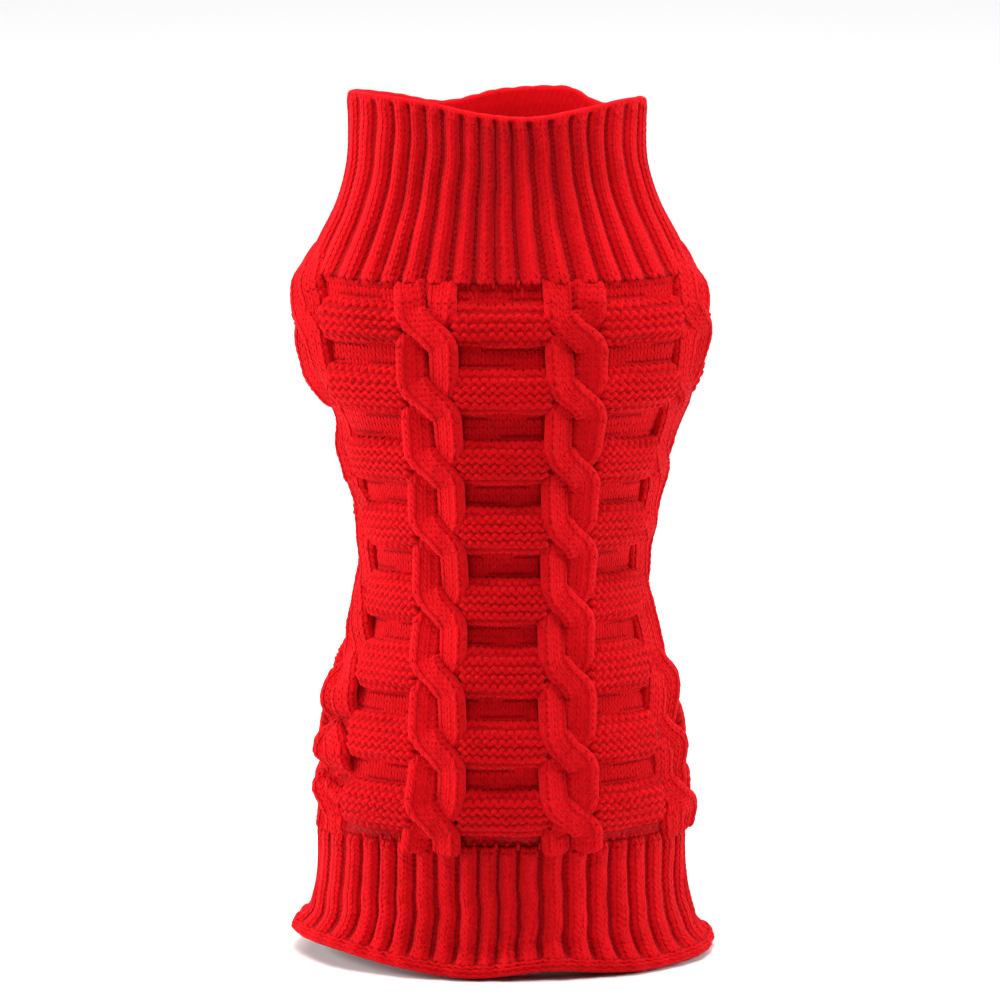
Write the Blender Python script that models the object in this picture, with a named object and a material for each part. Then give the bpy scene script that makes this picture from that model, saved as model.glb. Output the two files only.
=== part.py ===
"""A knitted turtleneck dog sweater, filled out and hollow, as six sewn pieces of cloth.

Metres. +Z runs from the hem up to the neck, -Y is the cabled back of the sweater, and the
origin is the centre of the ring on which the collar is sewn.

Every piece is a wall of cloth round one tube. The tube's cross-sections are listed in
SECTIONS. A place on the cloth is given by its height, by how far round it lies, and by how
far it stands out from the plain cloth. "turn" is the distance round the tube from the front
centre line as a share of the whole girth, from -0.5 to 0.5. "across" is the same distance
along the relaxed cloth, in metres.

Run with: blender --background --python part.py
"""
from functools import lru_cache

import bmesh
import bpy
import numpy as np
from mathutils import Vector
from mathutils.geometry import delaunay_2d_cdt

MM = 0.001

# The cloth.
WALL = 2.2 * MM
SEAM_GAP = 0.3 * MM
RIB_RISE = 1.8 * MM
SOFT_RIM = 0.5 * MM
BAR_RISE = 3.2 * MM
CABLE_RISE = 3.8 * MM
CROSSING_RISE = 1.8 * MM

# Where the pieces meet.
COLLAR_SEAM = 0.0
HEM_SEAM = -202.0 * MM
SIDE_SEAM = 120.0 * MM

# Ribs of the collar, the hem and the leg bands, counted all round.
COLLAR_RIBS = 38
HEM_RIBS = 44
LEG_BAND_RIBS = 16

# The ladder of raised purl bars: the heights of each bar's edges on the centre line, in mm.
# The cloth is stretched unevenly, so the bars differ a little in height and in spacing.
BARS = np.array(
    [
        (-7.6, -20.6), (-29.8, -44.4), (-55.2, -69.8), (-79.0, -95.0),
        (-105.0, -121.0), (-130.0, -146.6), (-156.0, -172.0), (-181.2, -197.6),
    ],
    dtype=[("top", float), ("bottom", float)],
)
BAR_EDGE = 1.4 * MM

# The rope cables between the bars. Their two strands cross once for each row of bars.
CABLE_SPACING = 53.0 * MM
CABLE_WIDTH = 23.3 * MM
STRAND_REACH = 6.1 * MM
STRAND_SWING = 5.5 * MM
CROSSING_BELOW_BAR_MIDDLE = 2.0 * MM
CROSSING_LENGTH = 15.6 * MM
UNDER_DIP = 0.55

# Leg openings in the belly panel.
LEG_HEIGHT = -44.0 * MM
LEG_FROM_BELLY_LINE = 35.0 * MM
LEG_HOLE_RADIUS = 19.0 * MM

# Cross-sections of the plain cloth's outer face, from the neck down to the hem.
# squareness 2 is an ellipse. stretch is how far the cloth is spread across, 1 when relaxed.
# droop is how much lower a row of the cloth hangs at DROOP_PLACE than on the centre line.
DROOP_PLACE = 60.0 * MM
SECTIONS = np.array(
    [
        # height, half width, half depth, squareness, shift, stretch, droop
        (66, 53.2, 24.0, 2.2, -1.4, 1.00, 0.0),
        (52, 52.3, 24.0, 2.2, -1.4, 1.00, 0.0),
        (38, 52.8, 25.0, 2.2, -1.4, 1.00, 0.0),
        (24, 56.8, 28.0, 2.2, -1.2, 1.00, 0.0),
        (10, 64.0, 33.0, 2.1, -1.0, 1.00, 0.0),
        (0, 68.5, 37.0, 2.1, -0.8, 1.00, 0.0),
        (-16, 72.0, 43.0, 2.0, 0.0, 1.00, 0.4),
        (-36, 69.5, 46.0, 2.0, 0.4, 0.98, 1.2),
        (-60, 58.5, 46.0, 2.0, 0.6, 0.93, 2.4),
        (-85, 52.5, 45.0, 2.0, 0.8, 0.88, 2.4),
        (-108, 49.0, 44.0, 2.0, 0.8, 0.86, 2.0),
        (-130, 52.5, 45.5, 2.0, 0.4, 0.86, 1.6),
        (-155, 61.0, 49.0, 2.0, 0.2, 0.87, 0.8),
        (-180, 65.5, 50.0, 2.0, 0.4, 0.90, 0.0),
        (-203, 65.0, 46.0, 2.0, 0.0, 0.95, 0.0),
        (-224, 65.5, 43.0, 2.1, -0.2, 1.00, 0.0),
        (-240, 69.5, 44.0, 2.1, -0.2, 1.00, 0.0),
        (-254, 73.5, 46.0, 2.1, -0.2, 1.00, 0.0),
    ],
    dtype=[
        ("height", float),
        ("half_width", float),
        ("half_depth", float),
        ("squareness", float),
        ("shift", float),
        ("stretch", float),
        ("droop", float),
    ],
)

# The uneven free edges: the height of the collar's rim and of the hem, round the tube.
RIM = np.array(
    [
        (-0.50, 61.0), (-0.42, 57.0), (-0.35, 60.2), (-0.25, 63.8), (-0.17, 64.0),
        (-0.10, 62.5), (-0.03, 58.8), (0.05, 57.2), (0.12, 59.8), (0.19, 62.2),
        (0.25, 61.5), (0.355, 57.5), (0.41, 62.0), (0.50, 61.0),
    ],
    dtype=[("turn", float), ("height", float)],
)
HEM = np.array(
    [
        (-0.50, -247.0), (-0.36, -245.5), (-0.25, -244.0), (-0.16, -245.8), (-0.10, -248.5),
        (-0.03, -250.6), (0.05, -248.6), (0.12, -250.8), (0.20, -251.4), (0.27, -247.6),
        (0.38, -246.0), (0.50, -247.0),
    ],
    dtype=[("turn", float), ("height", float)],
)

# The hem's rolled edge: a point's height over the edge, how far it stands out, and its share
# of the ribs' rise.
ROLL = np.array(
    [
        (9.0, 0.0, 1.0), (6.8, 1.6, 0.6), (5.2, 4.2, 0.2), (3.0, 5.9, 0.0), (0.9, 4.9, 0.0),
        (0.0, 2.2, 0.0), (0.8, -0.4, 0.0), (3.4, -2.2, 0.0),
    ],
    dtype=[("rise", float), ("out", float), ("ribs", float)],
)

# One leg band's wall, as distance inside the opening's edge and how far it stands out.
LEG_BAND = np.array(
    [(0.3, -2.2), (0.3, 3.5), (0.9, 8.0), (3.0, 8.0), (2.9, 3.5), (2.6, -2.2)],
    dtype=[("inward", float), ("out", float)],
)

# How finely the smooth faces are divided.
RING_STEPS = 720
INNER_COLUMNS = 48
INNER_BACK_COLUMNS = 27
INNER_BACK_ROWS = 12
BELLY_COLUMNS = 14
BELLY_ROWS = 20
LEG_HOLE_STEPS = 32
CLEAR_OF_LEG_HOLE = 3.0 * MM
RIB_POINTS = ((0.0, 0.0), (0.27, 1.0), (0.73, 1.0))
COLLAR_LEVELS = (0.0, 0.12, 0.25, 0.40, 0.56, 0.74, 0.92)
COLLAR_INNER_LEVELS = (1.0, 0.75, 0.5, 0.25, 0.0)
HEM_LEVELS = (0.0, 0.1, 0.4, 0.7)
HEM_INNER_LEVELS = (0.66, 0.33, 0.0)
CABLE_CENTRES = (-1.5, -0.5, 0.5, 1.5)
CABLE_COLUMNS = (-1.0, -0.88, -0.62, -0.3, 0.0, 0.3, 0.62, 0.88, 1.0)
BAR_CENTRES = (-1.0, 0.0, 1.0)
BAR_COLUMNS = (-0.9, -0.3, 0.3, 0.9)
OUTER_BAR_COLUMNS = (0.07, 0.5, 0.93)
CROSSING_ROWS = (0.3, 0.5, 0.7)

RED = {
    "collar": (0.56, 0.006, 0.011),
    "back_panel": (0.58, 0.006, 0.012),
    "belly_panel": (0.54, 0.005, 0.010),
    "hem_band": (0.55, 0.006, 0.011),
    "left_leg_band": (0.52, 0.005, 0.010),
    "right_leg_band": (0.52, 0.005, 0.010),
}
ROUGHNESS = 0.92


# ---------------------------------------------------------------- places on the cloth


def smooth_value(place, places, values):
    """A smooth curve through the values, read at one place. The places increase."""
    slopes = np.gradient(values, places)
    place = min(max(place, places[0]), places[-1])
    below = min(max(int(np.searchsorted(places, place)) - 1, 0), len(places) - 2)
    step = places[below + 1] - places[below]
    share = (place - places[below]) / step
    rest = 1.0 - share
    return (
        (1 + 2 * share) * rest**2 * values[below]
        + share * rest**2 * step * slopes[below]
        + share**2 * (3 - 2 * share) * values[below + 1]
        - share**2 * rest * step * slopes[below + 1]
    )


def section_value(height, column):
    """One column of SECTIONS at a height in millimetres, running smoothly between the rows."""
    return smooth_value(height, SECTIONS["height"][::-1], SECTIONS[column][::-1])


def edge_height(table, turn):
    """The height of a free edge, in metres, at a turn round the tube."""
    return MM * smooth_value((turn + 0.5) % 1.0 - 0.5, table["turn"], table["height"])


@lru_cache(maxsize=None)
def ring_at(height_tenths):
    """The plain cloth's outline at a height, as turns, x, y and the girth, in metres."""
    height = height_tenths / 10.0
    angles = np.linspace(-np.pi, np.pi, RING_STEPS + 1)
    power = 2.0 / section_value(height, "squareness")
    sines = np.sin(angles)
    cosines = np.cos(angles)
    x = section_value(height, "half_width") * np.sign(sines) * np.abs(sines) ** power
    y = -section_value(height, "half_depth") * np.sign(cosines) * np.abs(cosines) ** power
    x = x + section_value(height, "shift")
    run = np.concatenate([[0.0], np.cumsum(np.hypot(np.diff(x), np.diff(y)))])
    return run / run[-1] - 0.5, x * MM, y * MM, run[-1] * MM


def girth_at(height):
    return ring_at(round(height / MM * 10))[3]


def place(turn, height, out):
    """The point of the cloth at a turn, a height and a distance out from the plain face."""
    turns, x, y, girth = ring_at(round(height / MM * 10))
    turn = (turn + 0.5) % 1.0 - 0.5
    reach = 1.0 / RING_STEPS
    here = np.interp(turn, turns, x), np.interp(turn, turns, y)
    side = turn + reach if turn < 0 else turn - reach
    there = np.interp(side, turns, x), np.interp(side, turns, y)
    along = np.array([there[0] - here[0], there[1] - here[1]])
    if side < turn:
        along = -along
    along /= np.hypot(*along)
    return Vector((here[0] + along[1] * out, here[1] - along[0] * out, height))


def turn_of(across, height):
    """The turn of a distance along the relaxed cloth, at a height."""
    stretch = section_value(height / MM, "stretch")
    return across * stretch / girth_at(height)


def drooped(across, height):
    """A row's height at a distance across: the middle rows hang lower at the sides."""
    reach = min(abs(across), 1.5 * DROOP_PLACE) / DROOP_PLACE
    return height - MM * section_value(height / MM, "droop") * reach**2


# ---------------------------------------------------------------- relief of the knitting


def soft_step(value):
    value = np.clip(value, 0.0, 1.0)
    return value * value * (3.0 - 2.0 * value)


def cable_rise(from_centre, height):
    """How far a rope cable stands out, at a distance from its centre line and a height."""
    crossings = MM * (BARS["top"] + BARS["bottom"]) / 2 - CROSSING_BELOW_BAR_MIDDLE
    nearest = crossings[np.argmin(np.abs(crossings - height))]
    crossed = soft_step((nearest - height) / CROSSING_LENGTH + 0.5)
    swing = STRAND_SWING * (2 * crossed - 1)
    in_crossing = 1.0 - abs(2 * crossed - 1)
    over = 1 - ((from_centre - swing) / STRAND_REACH) ** 2
    under = 1 - ((from_centre + swing) / STRAND_REACH) ** 2
    over_rise = np.sqrt(max(over, 0.0)) * (CABLE_RISE + CROSSING_RISE * in_crossing)
    under_rise = np.sqrt(max(under, 0.0)) * CABLE_RISE * (1 - UNDER_DIP * in_crossing)
    return max(over_rise, under_rise)


def panel_rise(across, height):
    """How far the cabled panel stands out at a place: a cable, a bar, or the plain ladder."""
    for centre in CABLE_CENTRES:
        from_centre = across - centre * CABLE_SPACING
        if abs(from_centre) < CABLE_WIDTH / 2 - 1e-6:
            edge = 1 - (abs(from_centre) / (CABLE_WIDTH / 2)) ** 8
            return float(cable_rise(from_centre, height) * edge)
        if abs(from_centre) < CABLE_WIDTH / 2 + 1e-6:
            return 0.0
    inside = np.minimum(MM * BARS["top"] - height, height - MM * BARS["bottom"]).max()
    return float(BAR_RISE * soft_step(inside / BAR_EDGE))


# ---------------------------------------------------------------- meshes


def zip_rows(mesh, first, second, closed):
    """Fill the strip between two rows of (share, vertex) that may differ in number."""
    if closed:
        first = first + [(first[0][0] + 1.0, first[0][1])]
        second = second + [(second[0][0] + 1.0, second[0][1])]
    i = 0
    j = 0
    while i < len(first) - 1 or j < len(second) - 1:
        step_first = first[i + 1][0] if i < len(first) - 1 else np.inf
        step_second = second[j + 1][0] if j < len(second) - 1 else np.inf
        if abs(step_first - step_second) < 1e-9:
            corners = (first[i][1], first[i + 1][1], second[j + 1][1], second[j][1])
            i += 1
            j += 1
        elif step_first < step_second:
            corners = (first[i][1], first[i + 1][1], second[j][1])
            i += 1
        else:
            corners = (first[i][1], second[j + 1][1], second[j][1])
            j += 1
        mesh.faces.new(corners)


def finish(mesh, name):
    """Turn the faces outwards and put the piece in the scene, with its own material."""
    bmesh.ops.triangulate(mesh, faces=mesh.faces)
    bmesh.ops.recalc_face_normals(mesh, faces=mesh.faces)
    data = bpy.data.meshes.new(name)
    mesh.to_mesh(data)
    mesh.free()
    data.shade_smooth()
    material = bpy.data.materials.new(name)
    material.use_nodes = True
    shader = material.node_tree.nodes["Principled BSDF"]
    shader.inputs["Base Color"].default_value = (*RED[name], 1.0)
    shader.inputs["Roughness"].default_value = ROUGHNESS
    data.materials.append(material)
    piece = bpy.data.objects.new(name, data)
    bpy.context.scene.collection.objects.link(piece)
    return piece


def tube(name, rings):
    """A closed band: rings of (turn share, point), each joined to the next, last to first."""
    mesh = bmesh.new()
    rows = [[(share, mesh.verts.new(point)) for share, point in ring] for ring in rings]
    for row, following in zip(rows, rows[1:] + rows[:1]):
        zip_rows(mesh, row, following, closed=True)
    return finish(mesh, name)


def rib_columns(count):
    """Turn shares from 0 to 1 and the rib's rise there: a groove and two shoulders a rib."""
    columns = []
    for rib in range(count):
        for part, rise in RIB_POINTS:
            columns.append(((rib + part) / count, rise * RIB_RISE))
    return columns


def plain_columns():
    return [(column / INNER_COLUMNS, 0.0) for column in range(INNER_COLUMNS)]


# ---------------------------------------------------------------- the pieces


def build_collar():
    """The turtleneck: a ribbed tube that narrows upwards, with a plain inside."""
    def ring(columns, rise_share, ribs, out):
        points = []
        for share, rise in columns:
            turn = share - 0.5
            low = COLLAR_SEAM + SEAM_GAP / 2
            height = low + rise_share * (edge_height(RIM, turn) - low)
            points.append((share, place(turn, height, out + rise * ribs)))
        return points

    rings = []
    for rise_share in COLLAR_LEVELS:
        rings.append(ring(rib_columns(COLLAR_RIBS), rise_share, 1.0, 0.0))
    rings.append(ring(rib_columns(COLLAR_RIBS), 1.0, 0.4, -SOFT_RIM))
    for rise_share in COLLAR_INNER_LEVELS:
        rings.append(ring(plain_columns(), rise_share, 0.0, -WALL))
    return tube("collar", rings)


def build_hem_band():
    """The ribbed hem: its free edge rolls outwards."""
    def ring(columns, share_down, rise, ribs, out):
        points = []
        for share, rib in columns:
            turn = share - 0.5
            top = HEM_SEAM - SEAM_GAP / 2
            edge = edge_height(HEM, turn)
            height = edge + rise + (1 - share_down) * (top - edge - rise)
            points.append((share, place(turn, height, out + rib * ribs)))
        return points

    ribs = rib_columns(HEM_RIBS)
    first_roll = ROLL["rise"][0] * MM
    rings = []
    for share_down in HEM_LEVELS:
        rings.append(ring(ribs, share_down, first_roll, 1.0, 0.0))
    for row in ROLL:
        columns = ribs if row["ribs"] > 0 else plain_columns()
        rings.append(ring(columns, 1.0, row["rise"] * MM, row["ribs"], row["out"] * MM))
    last_roll = ROLL["rise"][-1] * MM
    for share_down in HEM_INNER_LEVELS:
        rings.append(ring(plain_columns(), share_down, last_roll, 0.0, -WALL))
    return tube("hem_band", rings)


def back_columns():
    """Distances across the cabled panel: grooves, and points on the cables and bars."""
    half_cable = CABLE_WIDTH / 2
    columns = [-SIDE_SEAM + SEAM_GAP / 2, SIDE_SEAM - SEAM_GAP / 2]
    for centre in CABLE_CENTRES:
        for part in CABLE_COLUMNS:
            columns.append(centre * CABLE_SPACING + part * half_cable)
    half_bar = (CABLE_SPACING - CABLE_WIDTH) / 2
    for centre in BAR_CENTRES:
        for part in BAR_COLUMNS:
            columns.append(centre * CABLE_SPACING + part * half_bar)
    inner = CABLE_CENTRES[-1] * CABLE_SPACING + half_cable
    for part in OUTER_BAR_COLUMNS:
        for side in (-1, 1):
            columns.append(side * (inner + part * (SIDE_SEAM - inner)))
    return sorted(columns)


def back_rows():
    """Heights down the cabled panel: the bars' edges and the cables' crossings."""
    rows = [COLLAR_SEAM - SEAM_GAP / 2, HEM_SEAM + SEAM_GAP / 2]
    above = COLLAR_SEAM
    for bar in BARS:
        top = bar["top"] * MM
        bottom = bar["bottom"] * MM
        rows += [(above + top) / 2, top, top - BAR_EDGE, bottom + BAR_EDGE, bottom]
        rows += [top - part * (top - bottom) for part in CROSSING_ROWS]
        above = bottom
    return sorted(rows, reverse=True)


def column_of(mesh, rows, across, out):
    """Vertices of a cloth face down one line, at every row, as (depth, vertex)."""
    line = []
    for height in rows:
        low = drooped(across, height)
        point = place(turn_of(across, low), low, out(across, height))
        line.append((-height, mesh.verts.new(point)))
    return line


def inner_level(across, height):
    """The plain inside of the cloth."""
    return -WALL


def build_back_panel():
    """The cabled back: four rope cables between five columns of raised purl bars."""
    columns = back_columns()
    rows = back_rows()
    inner_columns = np.linspace(columns[0], columns[-1], INNER_BACK_COLUMNS)
    inner_rows = np.linspace(rows[0], rows[-1], INNER_BACK_ROWS)
    mesh = bmesh.new()
    outer = [column_of(mesh, rows, across, panel_rise) for across in columns]
    inner = [column_of(mesh, inner_rows, across, inner_level) for across in inner_columns[1:-1]]
    left_edge = column_of(mesh, rows, columns[0], inner_level)
    right_edge = column_of(mesh, rows, columns[-1], inner_level)
    inner = [left_edge, *inner, right_edge]
    for line, following in zip(outer, outer[1:]):
        zip_rows(mesh, line, following, closed=False)
    for line, following in zip(inner, inner[1:]):
        zip_rows(mesh, line, following, closed=False)
    zip_rows(mesh, outer[0], left_edge, closed=False)
    zip_rows(mesh, outer[-1], right_edge, closed=False)
    for end in (0, -1):
        first = [(across, line[end][1]) for across, line in zip(columns, outer)]
        second = [(across, line[end][1]) for across, line in zip(inner_columns, inner)]
        zip_rows(mesh, first, second, closed=False)
    return finish(mesh, "back_panel")


def belly_half_width(height):
    """Half the belly cloth's width: the girth that the cabled panel leaves, less the seams."""
    taken = turn_of(SIDE_SEAM, height) * girth_at(height)
    return girth_at(height) / 2 - taken - SEAM_GAP / 2


def belly_place(spread, height, out):
    """A point of the belly cloth. spread runs from -1 at one side seam to 1 at the other."""
    side = spread * SIDE_SEAM
    reach = abs(spread)
    level = height - reach**2 * (height - drooped(SIDE_SEAM, height))
    turn = 0.5 - spread * belly_half_width(level) / girth_at(level)
    return place(turn, level, out)


def leg_outline(side, radius, angle):
    """A point on a circle round a leg opening, as the belly cloth's spread and height."""
    width = belly_half_width(LEG_HEIGHT)
    spread = (side * LEG_FROM_BELLY_LINE + radius * np.cos(angle)) / width
    return spread, LEG_HEIGHT + radius * np.sin(angle)


def belly_plan():
    """The belly's plan: its border, its two openings' rims and the points between them."""
    rows = back_rows()
    plan = [(side, row) for side in (-1.0, 1.0) for row in rows]
    for row in np.linspace(rows[0], rows[-1], BELLY_ROWS + 1):
        for spread in np.linspace(-1.0, 1.0, BELLY_COLUMNS + 1)[1:-1]:
            if from_leg_hole(spread, row) > LEG_HOLE_RADIUS + CLEAR_OF_LEG_HOLE:
                plan.append((spread, row))
    for side in (-1, 1):
        for step in range(LEG_HOLE_STEPS):
            plan.append(leg_outline(side, LEG_HOLE_RADIUS, 2 * np.pi * step / LEG_HOLE_STEPS))
    return plan


def from_leg_hole(spread, row):
    """Distance in the belly's plan from the nearer leg opening's centre."""
    width = belly_half_width(LEG_HEIGHT)
    sideways = abs(abs(spread) * width - LEG_FROM_BELLY_LINE)
    return float(np.hypot(sideways, row - LEG_HEIGHT))


def build_belly_panel():
    """The plain belly: a flat plan with two round leg openings, wrapped round the tube."""
    width = belly_half_width(LEG_HEIGHT)
    flat = [Vector((spread * width, row)) for spread, row in belly_plan()]
    points, _, faces, _, _, _ = delaunay_2d_cdt(flat, [], [], 0, 1e-7)
    mesh = bmesh.new()
    outer = [mesh.verts.new(belly_place(spot.x / width, spot.y, 0.0)) for spot in points]
    inner = [mesh.verts.new(belly_place(spot.x / width, spot.y, -WALL)) for spot in points]
    border = set()
    for face in faces:
        middle = sum((points[corner] for corner in face), Vector((0, 0))) / len(face)
        if from_leg_hole(middle.x / width, middle.y) < 0.99 * LEG_HOLE_RADIUS:
            continue
        mesh.faces.new([outer[corner] for corner in face])
        mesh.faces.new([inner[corner] for corner in reversed(face)])
        for start, end in zip(face, face[1:] + face[:1]):
            if (end, start) in border:
                border.remove((end, start))
            else:
                border.add((start, end))
    for start, end in sorted(border):
        mesh.faces.new((outer[end], outer[start], inner[start], inner[end]))
    return finish(mesh, "belly_panel")


def build_leg_band(name, side):
    """A short ribbed band sewn into one leg opening."""
    def ring(row):
        points = []
        ribbed = row["out"] > 0 and row["inward"] < WALL / 2 / MM
        for share, rise in rib_columns(LEG_BAND_RIBS):
            radius = LEG_HOLE_RADIUS - row["inward"] * MM
            if ribbed:
                radius -= 0.5 * (RIB_RISE - rise)
            spread, height = leg_outline(side, radius, 2 * np.pi * share)
            points.append((share, belly_place(spread, height, row["out"] * MM)))
        return points

    return tube(name, [ring(row) for row in LEG_BAND])


def clear_scene():
    for leftover in list(bpy.data.objects):
        bpy.data.objects.remove(leftover, do_unlink=True)


clear_scene()
build_collar()
build_back_panel()
build_belly_panel()
build_hem_band()
build_leg_band("left_leg_band", -1)
build_leg_band("right_leg_band", 1)
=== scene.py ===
# %% [markdown]
# # A knitted dog sweater
# This lesson dresses a plain hollow model of a small turtleneck sweater in real-looking knit.
# Knitted cloth is yarn pulled into loops, so its surface isn't a flat picture of stitches: each
# stitch is a small body that catches light on one side and throws a shadow on the other. The
# plain model gives every piece its place and size. Each piece then gets a finer shell with its
# ribs, bars and folds, and the yarn itself lies on that shell as geometry.

# %% Load the model that everything is fitted to
import math

import bmesh
import bpy
import numpy as np
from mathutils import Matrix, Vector
from mathutils.geometry import delaunay_2d_cdt


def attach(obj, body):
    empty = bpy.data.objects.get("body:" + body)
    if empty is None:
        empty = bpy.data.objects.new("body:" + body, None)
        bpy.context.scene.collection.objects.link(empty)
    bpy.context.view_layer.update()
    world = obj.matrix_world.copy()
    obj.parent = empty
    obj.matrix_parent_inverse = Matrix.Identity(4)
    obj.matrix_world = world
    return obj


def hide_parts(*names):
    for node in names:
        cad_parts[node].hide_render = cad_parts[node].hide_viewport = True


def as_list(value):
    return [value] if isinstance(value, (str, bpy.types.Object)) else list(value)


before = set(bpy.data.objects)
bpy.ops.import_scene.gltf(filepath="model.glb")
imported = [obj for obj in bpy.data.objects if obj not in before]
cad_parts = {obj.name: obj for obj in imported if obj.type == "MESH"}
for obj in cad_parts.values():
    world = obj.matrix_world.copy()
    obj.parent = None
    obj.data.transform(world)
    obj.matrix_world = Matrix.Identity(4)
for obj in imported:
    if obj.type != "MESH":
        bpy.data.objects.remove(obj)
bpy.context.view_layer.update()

MM = 0.001

# %% [markdown]
# ## The tube of cloth
# The body is one hollow tube that is wide at the chest, narrow at the waist and flared at the
# hem. It could be sculpted, but a table of cross-sections is easier to change and lets every
# later step ask "where is this spot on the cloth?" A spot is given by its turn round the tube
# (the share of the girth, 0 on the centre line of the cabled back), its height, and how far it
# stands out. A smooth curve runs through each column of the table.

# %% A helper for tables with named columns
def table_of(columns, *rows):
    """A table of numbers, whose columns are read by the names in columns."""
    return np.array(list(rows), dtype=[(column, float) for column in columns.split()])


print("one column by its name:", table_of("height width", (10, 4), (20, 7))["width"])

# %% Cross-sections and the uneven free edges
SECTIONS = table_of(
    "height half_width half_depth squareness shift stretch droop",
    # lengths in millimetres
    (66, 53.2, 24.0, 2.2, -1.4, 1.00, 0.0),
    (52, 52.3, 24.0, 2.2, -1.4, 1.00, 0.0),
    (38, 52.8, 25.0, 2.2, -1.4, 1.00, 0.0),
    (24, 56.8, 28.0, 2.2, -1.2, 1.00, 0.0),
    (10, 64.0, 33.0, 2.1, -1.0, 1.00, 0.0),
    (0, 68.5, 37.0, 2.1, -0.8, 1.00, 0.0),
    (-16, 72.0, 43.0, 2.0, 0.0, 1.00, 0.4),
    (-36, 69.5, 46.0, 2.0, 0.4, 0.98, 1.2),
    (-60, 58.5, 46.0, 2.0, 0.6, 0.93, 2.4),
    (-85, 52.5, 45.0, 2.0, 0.8, 0.88, 2.4),
    (-108, 49.0, 44.0, 2.0, 0.8, 0.86, 2.0),
    (-130, 52.5, 45.5, 2.0, 0.4, 0.86, 1.6),
    (-155, 61.0, 49.0, 2.0, 0.2, 0.87, 0.8),
    (-180, 65.5, 50.0, 2.0, 0.4, 0.90, 0.0),
    (-203, 65.0, 46.0, 2.0, 0.0, 0.95, 0.0),
    (-224, 65.5, 43.0, 2.1, -0.2, 1.00, 0.0),
    (-240, 69.5, 44.0, 2.1, -0.2, 1.00, 0.0),
    (-254, 73.5, 46.0, 2.1, -0.2, 1.00, 0.0),
)
RIM = table_of(
    "turn height",
    (-0.50, 61.0), (-0.42, 57.0), (-0.35, 60.2), (-0.25, 63.8), (-0.17, 64.0),
    (-0.10, 62.5), (-0.03, 58.8), (0.05, 57.2), (0.12, 59.8), (0.19, 62.2),
    (0.25, 61.5), (0.355, 57.5), (0.395, 62.0), (0.43, 62.3), (0.50, 61.0),
)
HEM = table_of(
    "turn height",
    (-0.50, -246.0), (-0.36, -244.5), (-0.25, -243.6), (-0.16, -243.6), (-0.10, -246.7),
    (-0.03, -249.5), (0.05, -247.0), (0.12, -249.3), (0.20, -249.1), (0.27, -249.0),
    (0.38, -247.4), (0.50, -246.0),
)
COLLAR_SEAM = 0.0
HEM_SEAM = -202.0 * MM
SIDE_SEAM = 120.0 * MM
SEAM_GAP = 0.3 * MM
WALL = 2.2 * MM
print(len(SECTIONS), "cross-sections,", len(RIM), "points on the rim,", len(HEM), "on the hem")


# %% Smooth curves and the map of the cloth
def ramp(value, start, length):
    """0 up to start, then evenly up to 1 over the given length."""
    return np.clip((value - start) / length, 0, 1)


def bell(distance, width):
    """1 in the middle, and softly down to 0 on both sides of it."""
    return np.exp(-((distance / width) ** 2))


def smooth_curve(places, values, where):
    """A smooth curve through the values, read at many places at once."""
    slopes = np.gradient(values, places)
    where = np.clip(where, places[0], places[-1])
    below = np.clip(np.searchsorted(places, where) - 1, 0, len(places) - 2)
    step = places[below + 1] - places[below]
    share = (where - places[below]) / step
    rest = 1.0 - share
    return (
        (1 + 2 * share) * rest**2 * values[below]
        + share * rest**2 * step * slopes[below]
        + share**2 * (3 - 2 * share) * values[below + 1]
        - share**2 * rest * step * slopes[below + 1]
    )


def section(column, height):
    """One column of the table of cross-sections, at heights in metres."""
    heights = SECTIONS["height"][::-1]
    return smooth_curve(heights, SECTIONS[column][::-1], np.asarray(height) / MM)


def edge_height(table, turn):
    turn = (np.asarray(turn) + 0.5) % 1.0 - 0.5
    return MM * smooth_curve(table["turn"], table["height"], turn)


TURN_STEPS = 720
HEIGHT_STEP = 1.0 * MM
HEIGHTS = np.arange(-258.0, 70.5, HEIGHT_STEP / MM) * MM


def map_cloth():
    """Tables of x, y and the outward direction at every height and turn, and of the girth."""
    angles = np.linspace(-np.pi, np.pi, TURN_STEPS + 1)
    even_turns = np.linspace(-0.5, 0.5, TURN_STEPS + 1)
    rows = {"x": [], "y": [], "out_x": [], "out_y": []}
    girths = []
    for height in HEIGHTS:
        power = 2.0 / section("squareness", height)
        x = np.sign(np.sin(angles)) * np.abs(np.sin(angles)) ** power
        y = -np.sign(np.cos(angles)) * np.abs(np.cos(angles)) ** power
        x = (x * section("half_width", height) + section("shift", height)) * MM
        y = y * section("half_depth", height) * MM
        run = np.concatenate([[0.0], np.cumsum(np.hypot(np.diff(x), np.diff(y)))])
        girths.append(run[-1])
        x = np.interp(even_turns, run / run[-1] - 0.5, x)
        y = np.interp(even_turns, run / run[-1] - 0.5, y)
        along_x = np.roll(x[:-1], -1) - np.roll(x[:-1], 1)
        along_y = np.roll(y[:-1], -1) - np.roll(y[:-1], 1)
        length = np.hypot(along_x, along_y)
        rows["x"].append(x)
        rows["y"].append(y)
        rows["out_x"].append(np.append(along_y / length, along_y[0] / length[0]))
        rows["out_y"].append(np.append(-along_x / length, -along_x[0] / length[0]))
    return {name: np.array(table) for name, table in rows.items()}, np.array(girths)


CLOTH, GIRTHS = map_cloth()


def girth(height):
    return np.interp(height, HEIGHTS, GIRTHS)


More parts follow.
